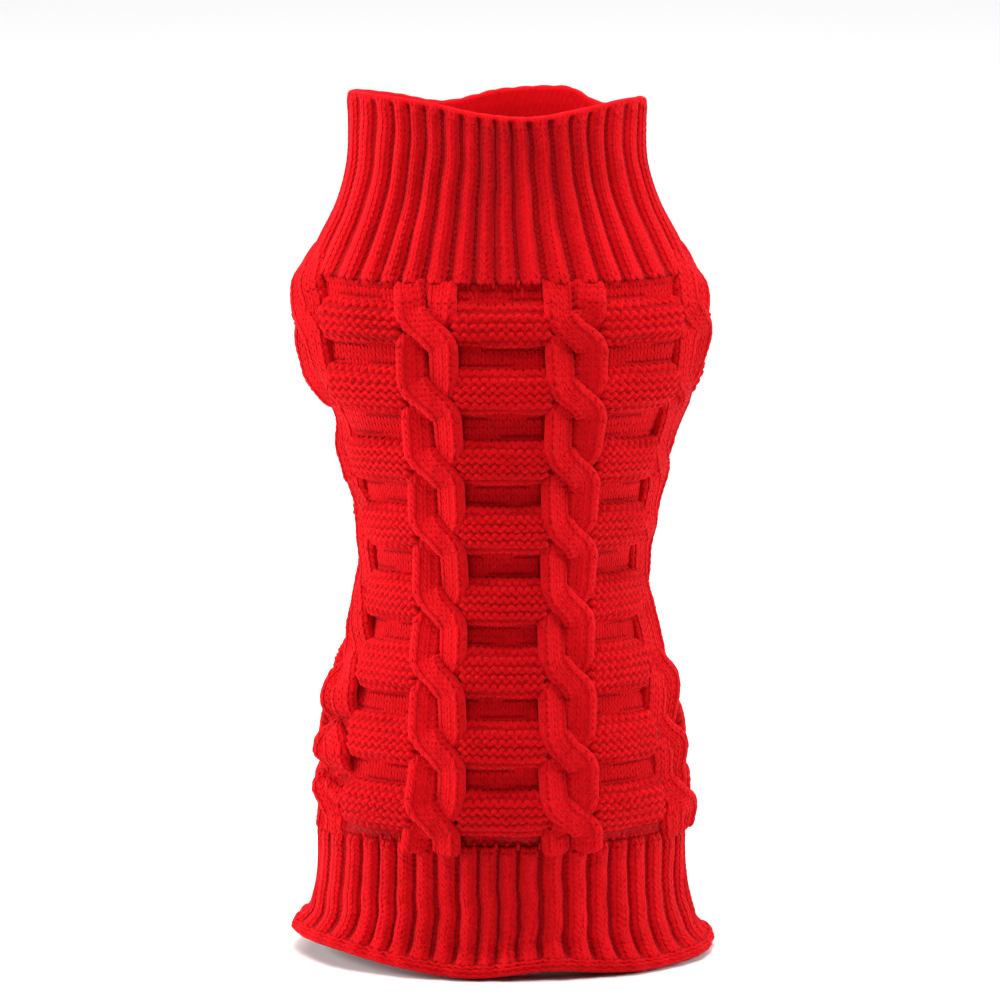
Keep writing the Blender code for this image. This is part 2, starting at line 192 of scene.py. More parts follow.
def read_map(name, turn, height):
    column = ((turn + 0.5) % 1.0) * TURN_STEPS
    row = np.clip((height - HEIGHTS[0]) / HEIGHT_STEP, 0, len(HEIGHTS) - 1.001)
    left = np.minimum(column.astype(int), TURN_STEPS - 1)
    low = row.astype(int)
    across = column - left
    up = row - low
    table = CLOTH[name]
    return (
        (1 - up) * (1 - across) * table[low, left]
        + (1 - up) * across * table[low, left + 1]
        + up * (1 - across) * table[low + 1, left]
        + up * across * table[low + 1, left + 1]
    )


def cloth_point(turn, height, out):
    """Points of the cloth, as an array with a last axis of x, y and z."""
    turn, height, out = np.broadcast_arrays(turn, height, out)
    x = read_map("x", turn, height) + read_map("out_x", turn, height) * out
    y = read_map("y", turn, height) + read_map("out_y", turn, height) * out
    return np.stack([x, y, height], axis=-1)


for part, place in (("chest", -16 * MM), ("waist", -108 * MM)):
    print("girth at the", part, round(float(girth(place)), 3))

# %% [markdown]
# ## Folds
# A filled-out sweater has few folds, but none of its faces is perfectly smooth: it is pulled in
# at the waist, loose above the hem, and the collar leans. Each fold here is one row of a table,
# with its own length, width and depth. A trough is a soft dent in how far the cloth stands out,
# so it moves the shell and the yarn on it together.

# %% The table of folds
FOLDS = table_of(
    "turn height lean length width depth",
    # lean is in degrees from upright, and lengths are in millimetres
    (-0.235, -70, 62, 46, 7.0, 1.3),
    (-0.205, -92, 70, 34, 6.0, 0.9),
    (0.228, -74, -60, 42, 7.0, 1.2),
    (0.250, -101, -74, 36, 5.5, 1.0),
    (-0.222, -133, 108, 40, 7.0, 1.1),
    (0.215, -138, -106, 36, 6.5, 1.0),
    (-0.120, 26, 12, 44, 6.0, 0.8),
    (0.075, 22, -8, 52, 5.0, 1.0),
    (0.160, 30, -16, 40, 6.5, 0.8),
    (-0.060, -226, 4, 34, 6.0, 0.9),
    (0.105, -228, -6, 38, 7.0, 1.4),
    (0.205, -224, -14, 32, 6.0, 0.9),
    (0.470, -86, 96, 58, 8.0, 1.6),
    (0.445, -112, 78, 50, 7.0, 1.5),
    (-0.455, -128, 104, 54, 8.0, 1.4),
    (0.492, -160, 18, 46, 7.0, 1.0),
    (-0.420, -176, -24, 40, 6.5, 1.1),
    (0.415, -20, 52, 30, 6.0, 0.9),
    (-0.425, -18, -48, 28, 6.0, 0.8),
    (-0.440, -228, -10, 34, 6.0, 1.1),
    (0.380, -226, 8, 36, 7.0, 1.0),
    (0.445, 28, 10, 46, 6.0, 1.0),
    (-0.400, 24, -12, 42, 6.0, 0.9),
)


def folds(turn, height):
    """How far the folds push the cloth out, in metres: troughs with a low ridge beside them."""
    turn, height = np.broadcast_arrays(turn, height)
    total = np.zeros(turn.shape)
    for fold in FOLDS:
        sideways = ((turn - fold["turn"] + 0.5) % 1.0 - 0.5) * girth(fold["height"] * MM) / MM
        upward = height / MM - fold["height"]
        lean = math.radians(fold["lean"])
        along = (sideways * math.sin(lean) + upward * math.cos(lean)) / (fold["length"] / 2)
        beside = (sideways * math.cos(lean) - upward * math.sin(lean)) / fold["width"]
        ends = np.clip(1 - along**2, 0, 1) ** 2
        trough = -bell(beside, 1.0) + 0.45 * bell(beside - 1.6, 1.0)
        total += fold["depth"] * ends * trough
    slow = np.sin(2 * np.pi * (turn * 3 + height / 0.115)) * np.sin(height / 0.021 + 9.0 * turn)
    return (total + 0.35 * slow) * MM


def folded_point(turn, height, out):
    """A point of the cloth. Its folds come on top of out."""
    return cloth_point(turn, height, folds(turn, height) + out)


print(len(FOLDS), "folds, the deepest", FOLDS["depth"].max(), "mm")

# %% [markdown]
# ## Meshes from rows of points
# Blender's own tools could lathe and solidify these walls, but each wall here has a ribbed or
# cabled outside over a plain inside. So a wall is one closed mesh: the outer rows of points run
# down the garment, the inner rows run back up, and quads join each row to the next. Every quad
# also gets a place in a UV map that counts stitches across and rows up, for the knit material.


# %% Helpers that turn arrays into mesh objects
def put_in_scene(name, data):
    made = bpy.data.objects.new(name, data)
    bpy.context.scene.collection.objects.link(made)
    return made


def triangle_count(data):
    data.calc_loop_triangles()
    return len(data.loop_triangles)


def add_mesh(name, points, faces, uv=None):
    """A mesh object from an array of points and an array of quads or triangles."""
    data = bpy.data.meshes.new(name)
    sides = faces.shape[1]
    data.vertices.add(len(points))
    data.vertices.foreach_set("co", np.ascontiguousarray(points, np.float32).ravel())
    data.loops.add(faces.size)
    data.loops.foreach_set("vertex_index", faces.astype(np.int32).ravel())
    data.polygons.add(len(faces))
    data.polygons.foreach_set("loop_start", np.arange(0, faces.size, sides, dtype=np.int32))
    data.update(calc_edges=True)
    data.validate()
    if uv is not None:
        layer = data.uv_layers.new(name="knit_uv")
        layer.data.foreach_set("uv", np.ascontiguousarray(uv, np.float32).ravel())
    data.shade_smooth()
    print(name, "has", triangle_count(data), "triangles")
    return put_in_scene(name, data)


def grid_quads(rows, columns, closed_across, closed_along):
    """Corner numbers of the quads of a grid of points, and each corner's column and row."""
    row_count = rows if closed_along else rows - 1
    column_count = columns if closed_across else columns - 1
    row, column = np.meshgrid(np.arange(row_count), np.arange(column_count), indexing="ij")
    corners = []
    spots = []
    for down, right in ((0, 0), (1, 0), (1, 1), (0, 1)):
        corners.append(((row + down) % rows) * columns + (column + right) % columns)
        spots.append(np.stack([column + right, row + down], axis=-1))
    quads = np.stack(corners, axis=-1).reshape(-1, 4)
    return quads, np.stack(spots, axis=-2).reshape(-1, 4, 2)


def ring_wall(name, loops, stitches_across, stitch_rows):
    """A closed band from rows of points that run down the outside and up the inside."""
    points = np.array(loops)
    rows, columns, _ = points.shape
    quads, spots = grid_quads(rows, columns, True, True)
    uv = spots * np.array([stitches_across / columns, stitch_rows / rows])
    return add_mesh(name, points.reshape(-1, 3), quads, uv)


print("a closed band of 3 by 4 points has", len(grid_quads(3, 4, True, True)[0]), "quads")

# %% [markdown]
# ## The rib
# Ribbing alternates columns of knit stitches, which stand out, with columns of purl stitches,
# which sink in and pull the cloth together. Here two knit columns make each ridge. Brushed yarn
# hides the single stitches, so a rib reads as one soft round cord beside a deep groove. Knitting
# is never ruled straight, so the ribs drift a little sideways and in width. On the flanks the tube
# is pulled wider, so the grooves are shallower there.

# %% The rib's profile
RIB_RISE = 3.9 * MM
COLLAR_SINK = 2.8 * MM
HEM_SINK = 2.1 * MM
COLLAR_RIBS = 38
HEM_RIBS = 44
CORD_SHARE = 0.95


def rib_wander(turn, share):
    """How far the ribs drift sideways, counted in ribs. It closes on itself round the tube."""
    round_tube = 2 * np.pi * turn
    slow = 0.15 * np.sin(3 * round_tube + 1.2) + 0.09 * np.sin(8 * round_tube)
    wavy = 0.09 * np.sin(7.0 * share + 2 * round_tube) + 0.035 * np.sin(19.0 * share + 5 * round_tube)
    return slow + wavy * share


def rib_profile(turn, share, ribs, roundness=0.58):
    """The rise of a rib from groove to groove, as a share of the full rise."""
    phase = (turn + 0.5) * ribs + rib_wander(turn, share)
    from_middle = 2 * (phase % 1.0 - 0.5)
    cord = (0.5 + 0.5 * np.cos(np.pi * np.clip(from_middle / CORD_SHARE, -1, 1))) ** roundness
    middle_line = 0.05 * bell(from_middle, 0.16)
    groove = 0.68 + 0.32 * np.cos(4 * np.pi * turn)
    return 1 - groove * (1 - cord) - middle_line


RIM_SOFTNESS = 1.3 * MM


def collar_height(turn, share):
    """share runs from 0 at the seam to 1 where the rim starts to turn in."""
    low = COLLAR_SEAM + SEAM_GAP / 2
    return low + share * (edge_height(RIM, turn) - RIM_SOFTNESS - low)


def collar_surface(turn, share):
    height = collar_height(turn, share)
    ribs = rib_profile(turn, share, COLLAR_RIBS)
    soft_top = ramp(1.0 - share, 0.0, 0.05) ** 0.5
    soft_foot = ramp(share, -0.01, 0.10)
    filled = ribs * (0.35 + 0.65 * soft_top) + 0.5 * (1 - soft_top)
    out = RIB_RISE * filled * (0.6 + 0.4 * soft_foot) - COLLAR_SINK * (0.4 + 0.6 * soft_foot)
    return folded_point(turn, height, out)


rib_width = float(girth(0.0)) / COLLAR_RIBS
print("one rib of the collar is", round(rib_width / MM, 1), "mm wide at the seam")

# %% [markdown]
# ## The yarn's colour and fuzz
# The yarn is soft dyed acrylic, brushed to feel like wool. Dye takes a little unevenly, so its
# red drifts from place to place. Loose fibres stand off the yarn, catch light at grazing angles
# and blur every edge. An image could hold this, but noise on the object's own coordinates never
# repeats and never stretches. What varies over the surface is a small shader group each: the
# dye, the twist of the plies, the fibres, and the arches of purl on the ground. The gloss of the
# fuzz is the same everywhere, so it is a plain sheen value on the shader itself.

# %% Helpers for nodes, and the four shader groups
def add_node(tree, kind, inputs=None, **settings):
    """A node with its settings. An input is a value, or another node's output to link."""
    made = tree.nodes.new(kind)
    for name, value in settings.items():
        setattr(made, name, value)
    for socket, value in (inputs or {}).items():
        if isinstance(value, bpy.types.NodeSocket):
            tree.links.new(value, made.inputs[socket])
        else:
            made.inputs[socket].default_value = value
    return made


def maths(tree, operation, *values):
    """The result of one step of arithmetic on numbers and other nodes' outputs."""
    return add_node(tree, "ShaderNodeMath", dict(enumerate(values)), operation=operation).outputs[0]


def new_group(name, kind, inputs, output):
    """A node group, the sockets that it is given, and the socket that takes its result."""
    tree = bpy.data.node_groups.new(name, kind)
    for label, socket_type, value in inputs:
        socket = tree.interface.new_socket(label, in_out="INPUT", socket_type=socket_type)
        if value is not None:
            socket.default_value = value
    label, socket_type = output
    tree.interface.new_socket(label, in_out="OUTPUT", socket_type=socket_type)
    given = tree.nodes.new("NodeGroupInput").outputs
    return tree, given, tree.nodes.new("NodeGroupOutput").inputs[label]


# The sockets of a Mix node that works on colours, which have the same names as its other ones.
COLOUR_A = 6
COLOUR_B = 7
MIXED_COLOUR = 2


def build_dye_group():
    """Dye: the yarn's colour drifts slowly, and each fibre bundle differs a little."""
    tree, given, result = new_group(
        "uneven_dye",
        "ShaderNodeTree",
        [
            ("Deep Colour", "NodeSocketColor", (0.4, 0.0, 0.0, 1.0)),
            ("Bright Colour", "NodeSocketColor", (0.6, 0.0, 0.0, 1.0)),
        ],
        ("Colour", "NodeSocketColor"),
    )
    where = add_node(tree, "ShaderNodeTexCoord").outputs["Object"]
    slow = add_node(tree, "ShaderNodeTexNoise", {"Vector": where, "Scale": 38.0, "Detail": 2.0})
    fine = add_node(tree, "ShaderNodeTexNoise", {"Vector": where, "Scale": 620.0, "Detail": 3.0})
    both = maths(tree, "ADD", slow.outputs["Fac"], fine.outputs["Fac"])
    share = add_node(tree, "ShaderNodeMapRange", {"Value": both, "From Min": 0.7, "From Max": 1.3})
    colours = {COLOUR_A: given["Deep Colour"], COLOUR_B: given["Bright Colour"]}
    mixed = add_node(tree, "ShaderNodeMix", {"Factor": share.outputs["Result"], **colours}, data_type="RGBA")
    tree.links.new(mixed.outputs[MIXED_COLOUR], result)
    return tree


def build_ply_group():
    """Plies: ridges that wind round the yarn, from its own attribute yarn_place."""
    tree, given, result = new_group(
        "twisted_plies",
        "ShaderNodeTree",
        [("Plies", "NodeSocketFloat", 3.0), ("Twist", "NodeSocketFloat", 9.0)],
        ("Height", "NodeSocketFloat"),
    )
    place = add_node(tree, "ShaderNodeAttribute", attribute_name="yarn_place")
    parts = add_node(tree, "ShaderNodeSeparateXYZ", {"Vector": place.outputs["Vector"]}).outputs
    round_yarn = maths(tree, "MULTIPLY", maths(tree, "ARCTAN2", parts["Y"], parts["X"]), given["Plies"])
    along_yarn = maths(tree, "MULTIPLY", parts["Z"], given["Twist"])
    tree.links.new(maths(tree, "SINE", maths(tree, "ADD", round_yarn, along_yarn)), result)
    return tree


def build_fibre_group():
    """Fibres: fine hairs that lie every way over the yarn."""
    tree, given, result = new_group(
        "loose_fibres",
        "ShaderNodeTree",
        [("Fibre Scale", "NodeSocketFloat", 1500.0)],
        ("Height", "NodeSocketFloat"),
    )
    where = add_node(tree, "ShaderNodeTexCoord").outputs["Object"]
    hairs = {"Vector": where, "Scale": given["Fibre Scale"], "Detail": 4.0, "Roughness": 0.65}
    noise = add_node(tree, "ShaderNodeTexNoise", hairs)
    tree.links.new(noise.outputs["Fac"], result)
    return tree


def build_purl_group():
    """Purl side: rows of little arches, read from the shell's own map of stitches."""
    tree, _, result = new_group("purl_arches", "ShaderNodeTree", [], ("Height", "NodeSocketFloat"))
    place = add_node(tree, "ShaderNodeUVMap", uv_map="knit_uv")
    parts = add_node(tree, "ShaderNodeSeparateXYZ", {"Vector": place.outputs["UV"]}).outputs
    arch = maths(tree, "COSINE", maths(tree, "MULTIPLY", parts["X"], 2 * math.pi))
    rows = maths(tree, "MULTIPLY", parts["Y"], 2 * math.pi)
    tree.links.new(maths(tree, "SINE", maths(tree, "MULTIPLY_ADD", arch, 1.3, rows)), result)
    return tree


DYE = build_dye_group()
PLIES = build_ply_group()
FIBRES = build_fibre_group()
PURL = build_purl_group()
print("shader groups:", [group.name for group in bpy.data.node_groups])

# %% [markdown]
# ## The materials
# The yarn on the outside and the ground knit under it are spun alike, so one function makes the
# material of both. They differ in which relief they carry: the yarn has its plies, and the ground
# has rows of purl arches. The ground is painted a shade deeper, as painted shade in the gaps between
# the stitches and in the hollows under the cables. The strands of the cables are nearly as bright
# as the yarn, and the smooth inside of the collar is painted brighter still, as painted light on
# its inner wall. The bump stays shallow, as the stitches are geometry.

# %% One function, four materials: one with painted shade, one with painted light
FIBRE_DEPTH = 0.25 * MM
FIBRE_STRENGTH = 0.8


def wool(name, relief, relief_depth, deep, bright):
    """A woolly material. relief is the group that shapes it, and relief_depth is in metres."""
    material = bpy.data.materials.new(name)
    material.use_nodes = True
    tree = material.node_tree
    shader = tree.nodes["Principled BSDF"]
    shader.inputs["Roughness"].default_value = 0.85
    shader.inputs["Specular IOR Level"].default_value = 0.07
    shader.inputs["Sheen Weight"].default_value = 0.22
    shader.inputs["Sheen Roughness"].default_value = 0.4
    shader.inputs["Sheen Tint"].default_value = (1.0, 0.13, 0.17, 1.0)
    reds = {"Deep Colour": (*deep, 1.0), "Bright Colour": (*bright, 1.0)}
    dye = add_node(tree, "ShaderNodeGroup", reds, node_tree=DYE)
    tree.links.new(dye.outputs["Colour"], shader.inputs["Base Color"])
    shape = add_node(tree, "ShaderNodeGroup", node_tree=relief)
    coarse = add_node(tree, "ShaderNodeBump", {"Height": shape.outputs["Height"], "Distance": relief_depth})
    hairs = {
        "Height": add_node(tree, "ShaderNodeGroup", node_tree=FIBRES).outputs["Height"],
        "Distance": FIBRE_DEPTH,
        "Strength": FIBRE_STRENGTH,
        "Normal": coarse.outputs["Normal"],
    }
    tree.links.new(add_node(tree, "ShaderNodeBump", hairs).outputs["Normal"], shader.inputs["Normal"])
    return material


STITCH_WOOL = wool("stitch_wool", PLIES, 0.06 * MM, (0.50, 0.0008, 0.0030), (0.65, 0.0020, 0.0060))
# The ground wool is painted darker: painted shade in the gaps between stitches and in the hollows under the
# cables.
SHADED_GROUND_WOOL = wool("ground_wool_painted_shade", PURL, 0.12 * MM, (0.31, 0.0006, 0.0019), (0.44, 0.0012, 0.0038))
SMOOTH_WOOL = wool("smooth_wool", PURL, 0.04 * MM, (0.50, 0.0009, 0.0032), (0.60, 0.0016, 0.0055))
# The inside of the collar is painted brighter: painted light on its inner wall and rim.
LIT_INSIDE_WOOL = wool("inside_wool_painted_light", PURL, 0.04 * MM, (0.62, 0.0011, 0.0040), (0.74, 0.0019, 0.0070))
print("materials:", [material.name for material in bpy.data.materials])

# %% [markdown]
# ## One leg of a stitch, many times
# On its smooth side a knit stitch shows two legs of yarn that lean together like a V. Drawing
# every V by hand would take days. The place, direction and size of each leg are worked out here
# from the surface that it lies on. A Geometry Nodes tree then puts one small rounded leg at each
# of those points, turned along the yarn and away from the cloth. The leg has few faces, because
# there are thousands of it. A fixed seed makes each leg a little longer, fatter or more tilted.

# %% Steps that both Geometry Nodes trees of this lesson need
def mark(tree, geometry, name, value, kind="FLOAT_VECTOR"):
    """Store a value on every point of some geometry, under a name."""
    inputs = {"Geometry": geometry, "Name": name, "Value": value}
    marked = add_node(tree, "GeometryNodeStoreNamedAttribute", inputs, data_type=kind, domain="POINT")
    return marked.outputs["Geometry"]


def read_mark(tree, name, kind="FLOAT_VECTOR"):
    reader = add_node(tree, "GeometryNodeInputNamedAttribute", {"Name": name}, data_type=kind)
    return reader.outputs["Attribute"]


def realize_and_dress(tree, geometry, yarn, result):
    """The end of a tree: real faces, shaded smooth, with their material."""
    real = add_node(tree, "GeometryNodeRealizeInstances", {"Geometry": geometry})
    smooth = add_node(tree, "GeometryNodeSetShadeSmooth", {"Geometry": real.outputs["Geometry"]})
    inputs = {"Geometry": smooth.outputs["Geometry"], "Material": yarn}
    tree.links.new(add_node(tree, "GeometryNodeSetMaterial", inputs).outputs["Geometry"], result)


# %% The tree that lays the legs
def build_leg_tree():
    tree, given, result = new_group(
        "lay_stitch_legs",
        "GeometryNodeTree",
        [
            ("Points", "NodeSocketGeometry", None),
            ("Leg Sides", "NodeSocketInt", 6),
            ("Size Spread", "NodeSocketFloat", 0.1),
            ("Tilt Spread", "NodeSocketFloat", 0.1),
            ("Seed", "NodeSocketInt", 1),
            ("Wool", "NodeSocketMaterial", None),
        ],
        ("Legs", "NodeSocketGeometry"),
    )
    ball = {"Segments": given["Leg Sides"], "Rings": 3, "Radius": 0.5}
    leg = add_node(tree, "GeometryNodeMeshUVSphere", ball)
    where = add_node(tree, "GeometryNodeInputPosition")
    marked = mark(tree, leg.outputs["Mesh"], "yarn_place", where.outputs["Position"])

    def spread(amount, seed_step, middle):
        """A random vector round a middle value, up to an amount to either side."""
        limits = {
            "Min": maths(tree, "SUBTRACT", middle, amount),
            "Max": maths(tree, "ADD", middle, amount),
            "Seed": maths(tree, "ADD", given["Seed"], seed_step),
        }
        return add_node(tree, "FunctionNodeRandomValue", limits, data_type="FLOAT_VECTOR").outputs["Value"]

    tilt = {0: read_mark(tree, "along"), 1: spread(given["Tilt Spread"], 1.0, 0.0)}
    tilted = add_node(tree, "ShaderNodeVectorMath", tilt, operation="ADD")
    size = {0: read_mark(tree, "size"), 1: spread(given["Size Spread"], 2.0, 1.0)}
    scaled = add_node(tree, "ShaderNodeVectorMath", size, operation="MULTIPLY")
    outward = {"Vector": read_mark(tree, "outward")}
    facing = add_node(tree, "FunctionNodeAlignRotationToVector", outward, axis="Y")
    turned = add_node(
        tree,
        "FunctionNodeAlignRotationToVector",
        {"Rotation": facing.outputs["Rotation"], "Vector": tilted.outputs["Vector"]},
        axis="Z",
        pivot_axis="Y",
    )
    legs = {
        "Points": given["Points"],
        "Instance": marked,
        "Rotation": turned.outputs["Rotation"],
        "Scale": scaled.outputs["Vector"],
    }
    laid = add_node(tree, "GeometryNodeInstanceOnPoints", legs)
    realize_and_dress(tree, laid.outputs["Instances"], given["Wool"], result)
    return tree


LEG_TREE = build_leg_tree()
print("the leg tree has", len(LEG_TREE.nodes), "nodes")


# %% Run a tree on some points and keep the plain mesh
LEG_SIDES = 6
SIZE_SPREAD = 0.08
TILT_SPREAD = 0.07


def source_mesh(name, points, edges=None, vectors=None):
    """Bare points, or lines of them, for a tree to start from. vectors are named attributes."""
    data = bpy.data.meshes.new(name)
    data.vertices.add(len(points))
    data.vertices.foreach_set("co", points.astype(np.float32).ravel())
    if edges is not None:
        data.edges.add(len(edges))
        data.edges.foreach_set("vertices", edges.astype(np.int32).ravel())
        data.update()
    for key, values in (vectors or {}).items():
        layer = data.attributes.new(key, "FLOAT_VECTOR", "POINT")
        layer.data.foreach_set("vector", values.astype(np.float32).ravel())
    return put_in_scene(name, data)


def grow(name, source, tree, settings):
    """The mesh that a Geometry Nodes tree makes from a source object, as a plain piece."""
    modifier = source.modifiers.new(tree.name, "NODES")
    modifier.node_group = tree
    for socket in tree.interface.items_tree:
        if socket.in_out == "INPUT" and socket.name in settings:
            modifier[socket.identifier] = settings[socket.name]
    bpy.context.view_layer.update()
    graph = bpy.context.evaluated_depsgraph_get()
    data = bpy.data.meshes.new_from_object(
        source.evaluated_get(graph), preserve_all_data_layers=True, depsgraph=graph
    )
    source.modifiers.clear()
    bpy.data.objects.remove(source, do_unlink=True)
    data.name = name
    print(name, "has", triangle_count(data), "triangles")
    return put_in_scene(name, data)


def lay_legs(name, legs, seed):
    """legs holds arrays: centre, along, outward and size, one row for each leg."""
    vectors = {key: legs[key] for key in ("along", "outward", "size")}
    source = source_mesh(name + "_points", legs["centre"], vectors=vectors)
    settings = {
        "Leg Sides": LEG_SIDES,
        "Size Spread": SIZE_SPREAD,
        "Tilt Spread": TILT_SPREAD,
        "Seed": seed,
        "Wool": STITCH_WOOL,
    }
    print(name, "is laid from", len(legs["centre"]), "legs")
    return grow(name, source, LEG_TREE, settings)


# %% [markdown]
# ## Where the legs go
# A surface is any function that turns two numbers, across and along, into a point. From it a
# stitch finds its own legs: each runs from low near the middle of the column to high near the
# column's edge. The cross product of the two directions on the surface points away from it.

# %% Work out legs on any surface
LEG_FROM_MIDDLE = 0.25
HALF_LEG = 0.55
FEELER = 0.2
LEG_STAND = 0.04


def unit(vectors):
    return vectors / np.maximum(np.linalg.norm(vectors, axis=-1, keepdims=True), 1e-12)


def stitch_legs(surface, across, along, column, row, broad=0.70, plump=0.24, lean=0.22, reach=1.42):
    """Both legs of the stitches at (across, along). column and row are one stitch's size.

    broad is a leg's width as a share of the column, and plump its thickness as a share of that.
    reach is its length as a share of the row: above 1, the legs overlap like roof tiles.
    """
    gathered = {"centre": [], "along": [], "outward": [], "size": []}
    for side in (-1.0, 1.0):
        middle = across + side * LEG_FROM_MIDDLE * column
        low = surface(middle - side * 0.5 * lean * column, along - HALF_LEG * row)
        high = surface(middle + side * 0.5 * lean * column, along + HALF_LEG * row)
        left = surface(middle - FEELER * column, along)
        right = surface(middle + FEELER * column, along)
        direction = high - low
        outward = unit(np.cross(right - left, direction))
        width = np.linalg.norm(right - left, axis=-1) / (2 * FEELER) * broad
        thick = width * plump
        length = reach * np.linalg.norm(direction, axis=-1)
        gathered["centre"].append(surface(middle, along) + outward * (LEG_STAND * thick)[..., None])
        gathered["along"].append(unit(direction))
        gathered["outward"].append(outward)
        gathered["size"].append(np.stack([width, thick, length], axis=-1))
    return {key: np.concatenate(values) for key, values in gathered.items()}


def together(*groups):
    return {key: np.concatenate([group[key] for group in groups]) for key in groups[0]}


def every(first, second):
    """All pairs of two lists of numbers, as two flat arrays."""
    one, two = np.meshgrid(first, second, indexing="ij")
    return one.ravel(), two.ravel()


def flat_cloth(across, along):
    return np.stack([across, np.zeros_like(across), along], axis=-1)


flat_legs = stitch_legs(flat_cloth, np.zeros(1), np.zeros(1), 3 * MM, 3 * MM)
print("a leg of a flat stitch measures", np.round(flat_legs["size"][0] / MM, 2), "mm")

# %% [markdown]
# ## The collar
# The turtleneck is a tube of rib that narrows upwards and stands nearly straight. Its shell has
# a rounded rim and a plain inside, and its legs lie in two columns on every ridge. The legs are
# laid on the same function that shaped the shell, so they follow every wave of it.

# %% The collar's shell and legs
COLLAR_COLUMNS = COLLAR_RIBS * 14
COLLAR_LEVELS = np.array([1.0, 0.99, 0.975, 0.95, *np.linspace(0.9, 0.1, 13), 0.05, 0.03, 0.012, 0.0])
COLLAR_ROWS = 27
INNER_LEVELS = np.linspace(0.0, 1.0, 7)
RIM_SPOTS = np.array([0.9, 0.72, 0.5, 0.28, 0.1])
RIM_PUFF = 1.7 * MM
INSIDE = 3.8 * MM
WALE_FROM_MIDDLE = 0.19
WALE_WIDTH = 0.39
RIB_LEGS = {"plump": 0.13, "reach": 1.9}


def collar_inside(turn, share):
    return folded_point(turn, collar_height(turn, share), -INSIDE)


def rim_surface(turn, spot):
    """The rounded rim. spot runs from 0 at the outer face to 1 at the inner one."""
    spot = np.broadcast_to(spot, np.shape(turn))
    share = np.ones(np.shape(turn))
    outer = collar_surface(turn, share)
    inner = collar_inside(turn, share)
    bulge = np.sqrt(np.clip(1 - (2 * spot - 1) ** 2, 0, 1))
    fullness = 0.85 + 0.15 * rib_profile(turn, share, COLLAR_RIBS)
    up = (RIM_PUFF * bulge * fullness)[..., None] * np.array([0.0, 0.0, 1.0])
    return outer + (inner - outer) * spot[..., None] + up


def build_collar_shell():
    turns = np.arange(COLLAR_COLUMNS) / COLLAR_COLUMNS - 0.5
    loops = [collar_surface(turns, share) for share in COLLAR_LEVELS]
    loops += [collar_inside(turns, share) for share in INNER_LEVELS]
    loops += [rim_surface(turns, spot) for spot in RIM_SPOTS]
    return ring_wall("collar_shell", loops, COLLAR_RIBS * 3, 60)


def rib_wales(ribs, shares):
    """Turns and shares of the stitches in the two knit columns of every rib, and one's width."""
    middles = np.concatenate([np.arange(ribs) + 0.5 + side * WALE_FROM_MIDDLE for side in (-1, 1)])
    phase, share = every(middles, shares)
    turn = phase / ribs - 0.5
    return turn - rib_wander(turn, share) / ribs, share, WALE_WIDTH / ribs


collar_shell = build_collar_shell()
collar_shares = (np.arange(COLLAR_ROWS) + 0.85) / (COLLAR_ROWS + 0.35)
collar_turn, collar_share, collar_wale = rib_wales(COLLAR_RIBS, collar_shares)
collar_legs = lay_legs(
    "collar_stitches",
    stitch_legs(collar_surface, collar_turn, collar_share, collar_wale, 1 / COLLAR_ROWS, **RIB_LEGS),
    seed=3,
)

# %% [markdown]
# ## The hem
# The hem is the same rib, a little looser. A cast-off edge pulls less than the ribs do, so the
# last few rows flare and roll outwards. The ribs run down the flare and end at a narrow rolled
# lip. A short table gives the roll's path, and a smooth curve through it gives the shell's rows.

# %% The hem's shell and legs
ROLL = table_of(
    "rise out ribs",
    (9.0, 0.0, 1.0), (7.0, 0.9, 1.0), (5.2, 2.3, 0.9), (3.9, 4.2, 0.4), (2.3, 5.4, 0.0),
    (0.7, 4.7, 0.0), (0.0, 2.4, 0.0), (0.9, -0.3, 0.0), (3.4, -2.2, 0.0),
)
HEM_COLUMNS = HEM_RIBS * 12
HEM_ROWS = 16
HEM_ROUNDNESS = 0.44
FLARE_STEPS = np.array([0.3, 1.2, 2.1])
HEM_LEVELS = np.concatenate([[0.0, 0.03], np.linspace(0.08, 1.0, 12)])
ROLL_STEPS = np.linspace(0.0, len(ROLL) - 1.0, 22)[1:]


def hem_height(turn, share):
    """share runs from 0 at the seam to 1 where the roll begins."""
    top = HEM_SEAM - SEAM_GAP / 2
    return top + share * (edge_height(HEM, turn) + ROLL["rise"][0] * MM - top)


def hem_surface(turn, share):
    height = hem_height(turn, share)
    ribs = rib_profile(turn, share, HEM_RIBS, HEM_ROUNDNESS)
    soft_head = ramp(share, -0.02, 0.12)
    out = RIB_RISE * ribs * (0.3 + 0.7 * soft_head) - HEM_SINK * (0.6 + 0.4 * soft_head)
    return folded_point(turn, height, out)


def roll_surface(turn, step):
    """step counts along the rows of ROLL, from 0 where the ribs end."""
    steps = np.arange(len(ROLL), dtype=float)
    rise = smooth_curve(steps, ROLL["rise"], step) * MM
    out = smooth_curve(steps, ROLL["out"], step) * MM
    ribs = np.clip(smooth_curve(steps, ROLL["ribs"], step), 0.0, 1.0)
    round_tube = 2 * np.pi * turn
    wave = 0.45 * np.sin(17 * round_tube + 2 * np.sin(3 * round_tube)) + 0.3 * np.sin(41 * round_tube)
    low = edge_height(HEM, turn)
    start = low + ROLL["rise"][0] * MM
    profile = rib_profile(turn, 1.0, HEM_RIBS, HEM_ROUNDNESS)
    loose = ramp(step, 0.0, 3.0) * ramp(8.0 - step, 0.0, 2.0)
    out = out + folds(turn, start) + ribs * (profile * RIB_RISE - HEM_SINK) + wave * loose * MM
    return cloth_point(turn, low + rise + 0.3 * wave * loose * MM, out)


